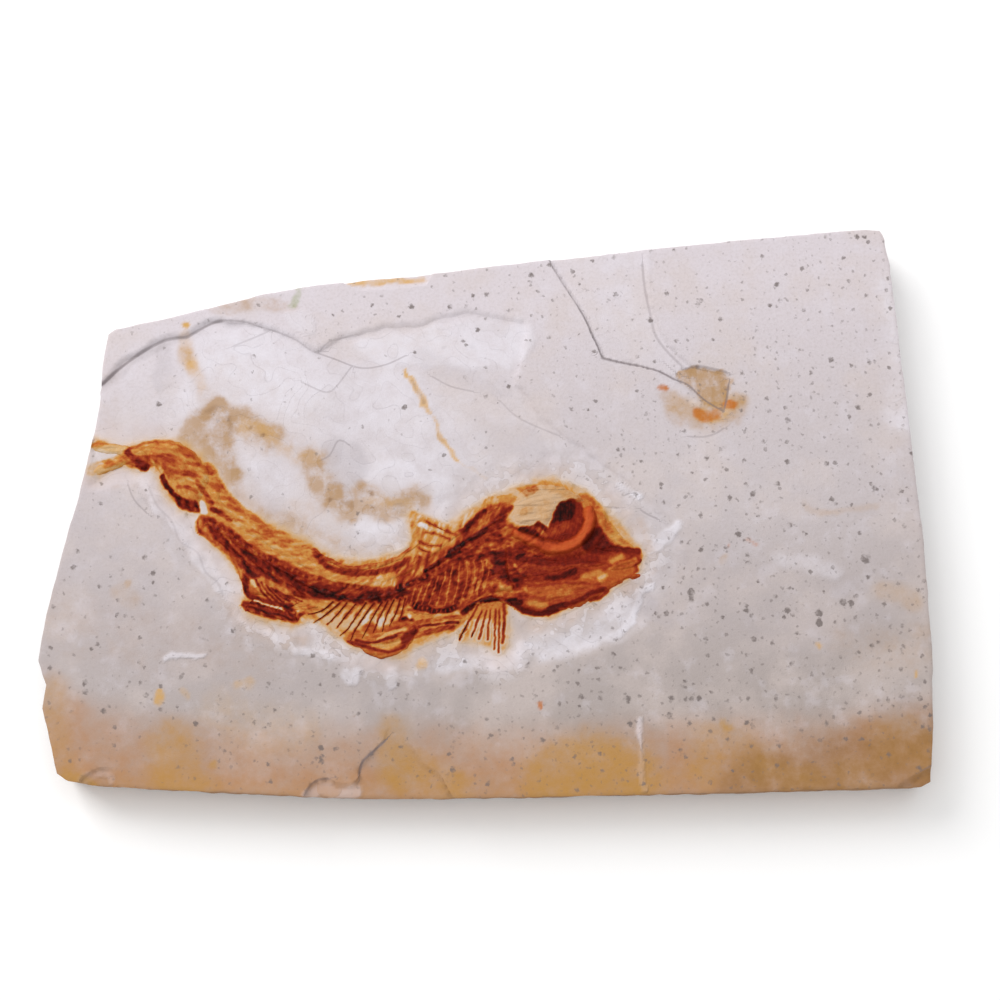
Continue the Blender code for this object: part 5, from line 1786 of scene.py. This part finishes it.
@dataclass
class Skeleton:
    """The whole fish: its tail, trunk, fins and head.

    Attributes:
        dark: Bone that is nearly black with iron, dense and a little glossy.
        red: Bone stained a deep red brown, as most of the head is.
        amber: Thin bone that the light still gets into, gold to brown.
        ember: The eye ring's bright orange bone.
        sandy: The dull, sandy crust on the skull roof.
    """

    dark: StainedBone = StainedBone("black_iron_bone", 0.0, 2.4, roughness=0.42, coat=0.03)
    red: StainedBone = StainedBone("red_iron_bone", 0.02, 2.3)
    amber: StainedBone = StainedBone("amber_bone", 0.0, 1.9)
    ember: StainedBone = StainedBone("glowing_orange_bone", 0.0, 1.6, stops=EMBER_STOPS)
    sandy: StainedBone = StainedBone("sandy_crust", 0.0, 2.4, 0.8, stops=CRUST_STOPS)

    def build(self) -> list[bpy.types.Object]:
        """Build every bone.

        Returns:
            The pieces, from the tail to the snout and then the rays.
        """
        dark, red, amber, ember, sandy = (
            finish.make() for finish in (self.dark, self.red, self.amber, self.ember, self.sandy))
        parts = [
            BoneSheet("tail_fin", amber, 0.4, 0.7, bare=0.17),
            BoneSheet("tail_stalk", amber, 0.75, 1.5, bare=0.22),
            BoneSheet("backbone", dark, 0.65, 0.8, knots=1.15),
            BoneSheet("nerve_spines", amber, 0.45, 0.9, fibre=0.18, fibre_pitch=0.4, bare=0.17),
            BoneSheet("back_ridge", red, 0.4, 0.5),
            BoneSheet("hind_spines", red, 0.5, 0.7, fibre=0.2, grow=-0.05),
            BoneSheet("keel", dark, 0.4, 0.5, knots=0.75),
            BoneSheet("anal_fin", red, 0.45, 0.4, cell=0.12),
            BoneSheet("pelvic_fin", red, 0.45, 0.5, fibre=0.2),
            BoneSheet("pelvic_bone", amber, 0.4, 0.5, bare=0.26),
            BoneSheet("shoulder_arc", dark, 0.7, 0.5),
            BoneSheet("gill_cover", red, 0.65, 0.8, HEAD_LINE, bare=0.5),
            BoneSheet("cheek", red, 0.65, 0.9, HEAD_LINE, bare=0.6),
            BoneSheet("eye_floor", dark, 0.4, 0.4, HEAD_LINE, bare=0.7),
            BoneSheet("eye_ring", ember, 1.54, 0.9, RING_LINE, fibre=0.05, grow=0.65, bare=0.45),
            BoneSheet("skull_roof", sandy, 0.7, 1.4, HEAD_LINE, bare=0.2),
            BoneSheet("snout", red, 0.75, 1.0, HEAD_LINE, grow=-0.3, bare=0.5),
            BoneSheet("upper_jaw", amber, 0.7, 0.7, HEAD_LINE, bare=0.45),
            BoneSheet("lower_jaw", amber, 0.75, 1.3, HEAD_LINE, bare=0.45),
            RayFan("belly_rays", red, BELLY_RAYS, (0.14, 0.10, 0.05), 0.3, 0.68),
            RayFan("ribs", red, RIBS, (0.13, 0.11, 0.06), 0.22, 0.7),
            RayFan("pectoral_fin", dark, PECTORAL_RAYS, (0.08, 0.11, 0.10), 0.2),
            RayFan("dorsal_fin", amber, DORSAL_RAYS, (0.12, 0.09, 0.04), 0.25, 0.52),
        ]
        return [part.build() for part in parts]


# ------------------------------------------------------------------------------ the studio
@dataclass
class Studio:
    """The pale floor, the soft lights and the camera.

    Attributes:
        floor_side: Side of the floor, in metres.
        floor_drop: How far the floor lies under the plate, in metres, so that the two don't flicker.
        lights: Each light's name, power in watts, side and place in metres: a large one over the far
            left, which draws the shadows, and one overhead that softens them.
        surround: Strength of the light from all round.
    """

    floor_side: float = 6.0
    floor_drop: float = 0.00002
    lights: tuple[tuple[str, float, float, tuple[float, float, float]], ...] = (
        ("key", 9.0, 0.7, (-0.7, 0.7, 0.8)), ("overhead", 7.0, 1.2, (0.0, 0.1, 1.2)))
    surround: float = 0.45

    def floor(self) -> None:
        """Lay the floor of matt white paper, which isn't part of the object."""
        bm = bmesh.new()
        bmesh.ops.create_grid(bm, x_segments=1, y_segments=1, size=self.floor_side / 2)
        bmesh.ops.translate(bm, verts=bm.verts, vec=(0.0, 0.0, -self.floor_drop))
        mesh = bpy.data.meshes.new("floor")
        bm.to_mesh(mesh)
        bm.free()
        sketch = MaterialSketch("white_paper")
        sketch.add("OutputMaterial", sketch.add("BsdfDiffuse", linear("#fbfbfb")), take=None)
        mesh.materials.append(sketch.material)
        thing = bpy.data.objects.new("floor", mesh)
        bpy.context.scene.collection.objects.link(thing)

    def hang(self, data: bpy.types.Light | bpy.types.Camera, place: Vector, way: Vector) -> bpy.types.Object:
        """Put a light or the camera into the studio.

        Args:
            data: The light or camera.
            place: Where it is, in metres.
            way: Which way it faces.

        Returns:
            The new object.
        """
        thing = bpy.data.objects.new(data.name, data)
        thing.location = place
        thing.rotation_euler = way.to_track_quat("-Z", "Y").to_euler()
        bpy.context.scene.collection.objects.link(thing)
        return thing

    def build(self) -> None:
        """Set up the floor, the lights, the surrounding light and the camera."""
        self.floor()
        for name, watts, side, place in self.lights:
            light = bpy.data.lights.new(name, "AREA")
            light.shape, light.size, light.energy = "SQUARE", side, watts
            self.hang(light, Vector(place), -Vector(place))
        world = bpy.data.worlds.new("surroundings")
        world.use_nodes = True
        world.node_tree.nodes["Background"].inputs["Color"].default_value = linear("#ffffff")
        world.node_tree.nodes["Background"].inputs["Strength"].default_value = self.surround
        scene = bpy.context.scene
        scene.world = world
        scene.view_settings.view_transform = "Standard"
        camera = bpy.data.cameras.new("camera")
        camera.lens, camera.sensor_width, camera.clip_start = LENS, SENSOR, 0.01
        back = Vector((0.0, -math.cos(ELEVATION), math.sin(ELEVATION))) * DISTANCE
        scene.camera = self.hang(camera, (Vector((*AIM, FACE_LEVEL)) + back) * MM, -back)


def main() -> None:
    """Build the plate, the fish and the studio."""
    logging.basicConfig(level=logging.INFO)
    plate = Plate(Limestone(specks=SPECKS).make())
    plate.build()
    StainedBed(plate).build()
    Skeleton().build()
    Studio().build()


if __name__ == "__main__":
    main()
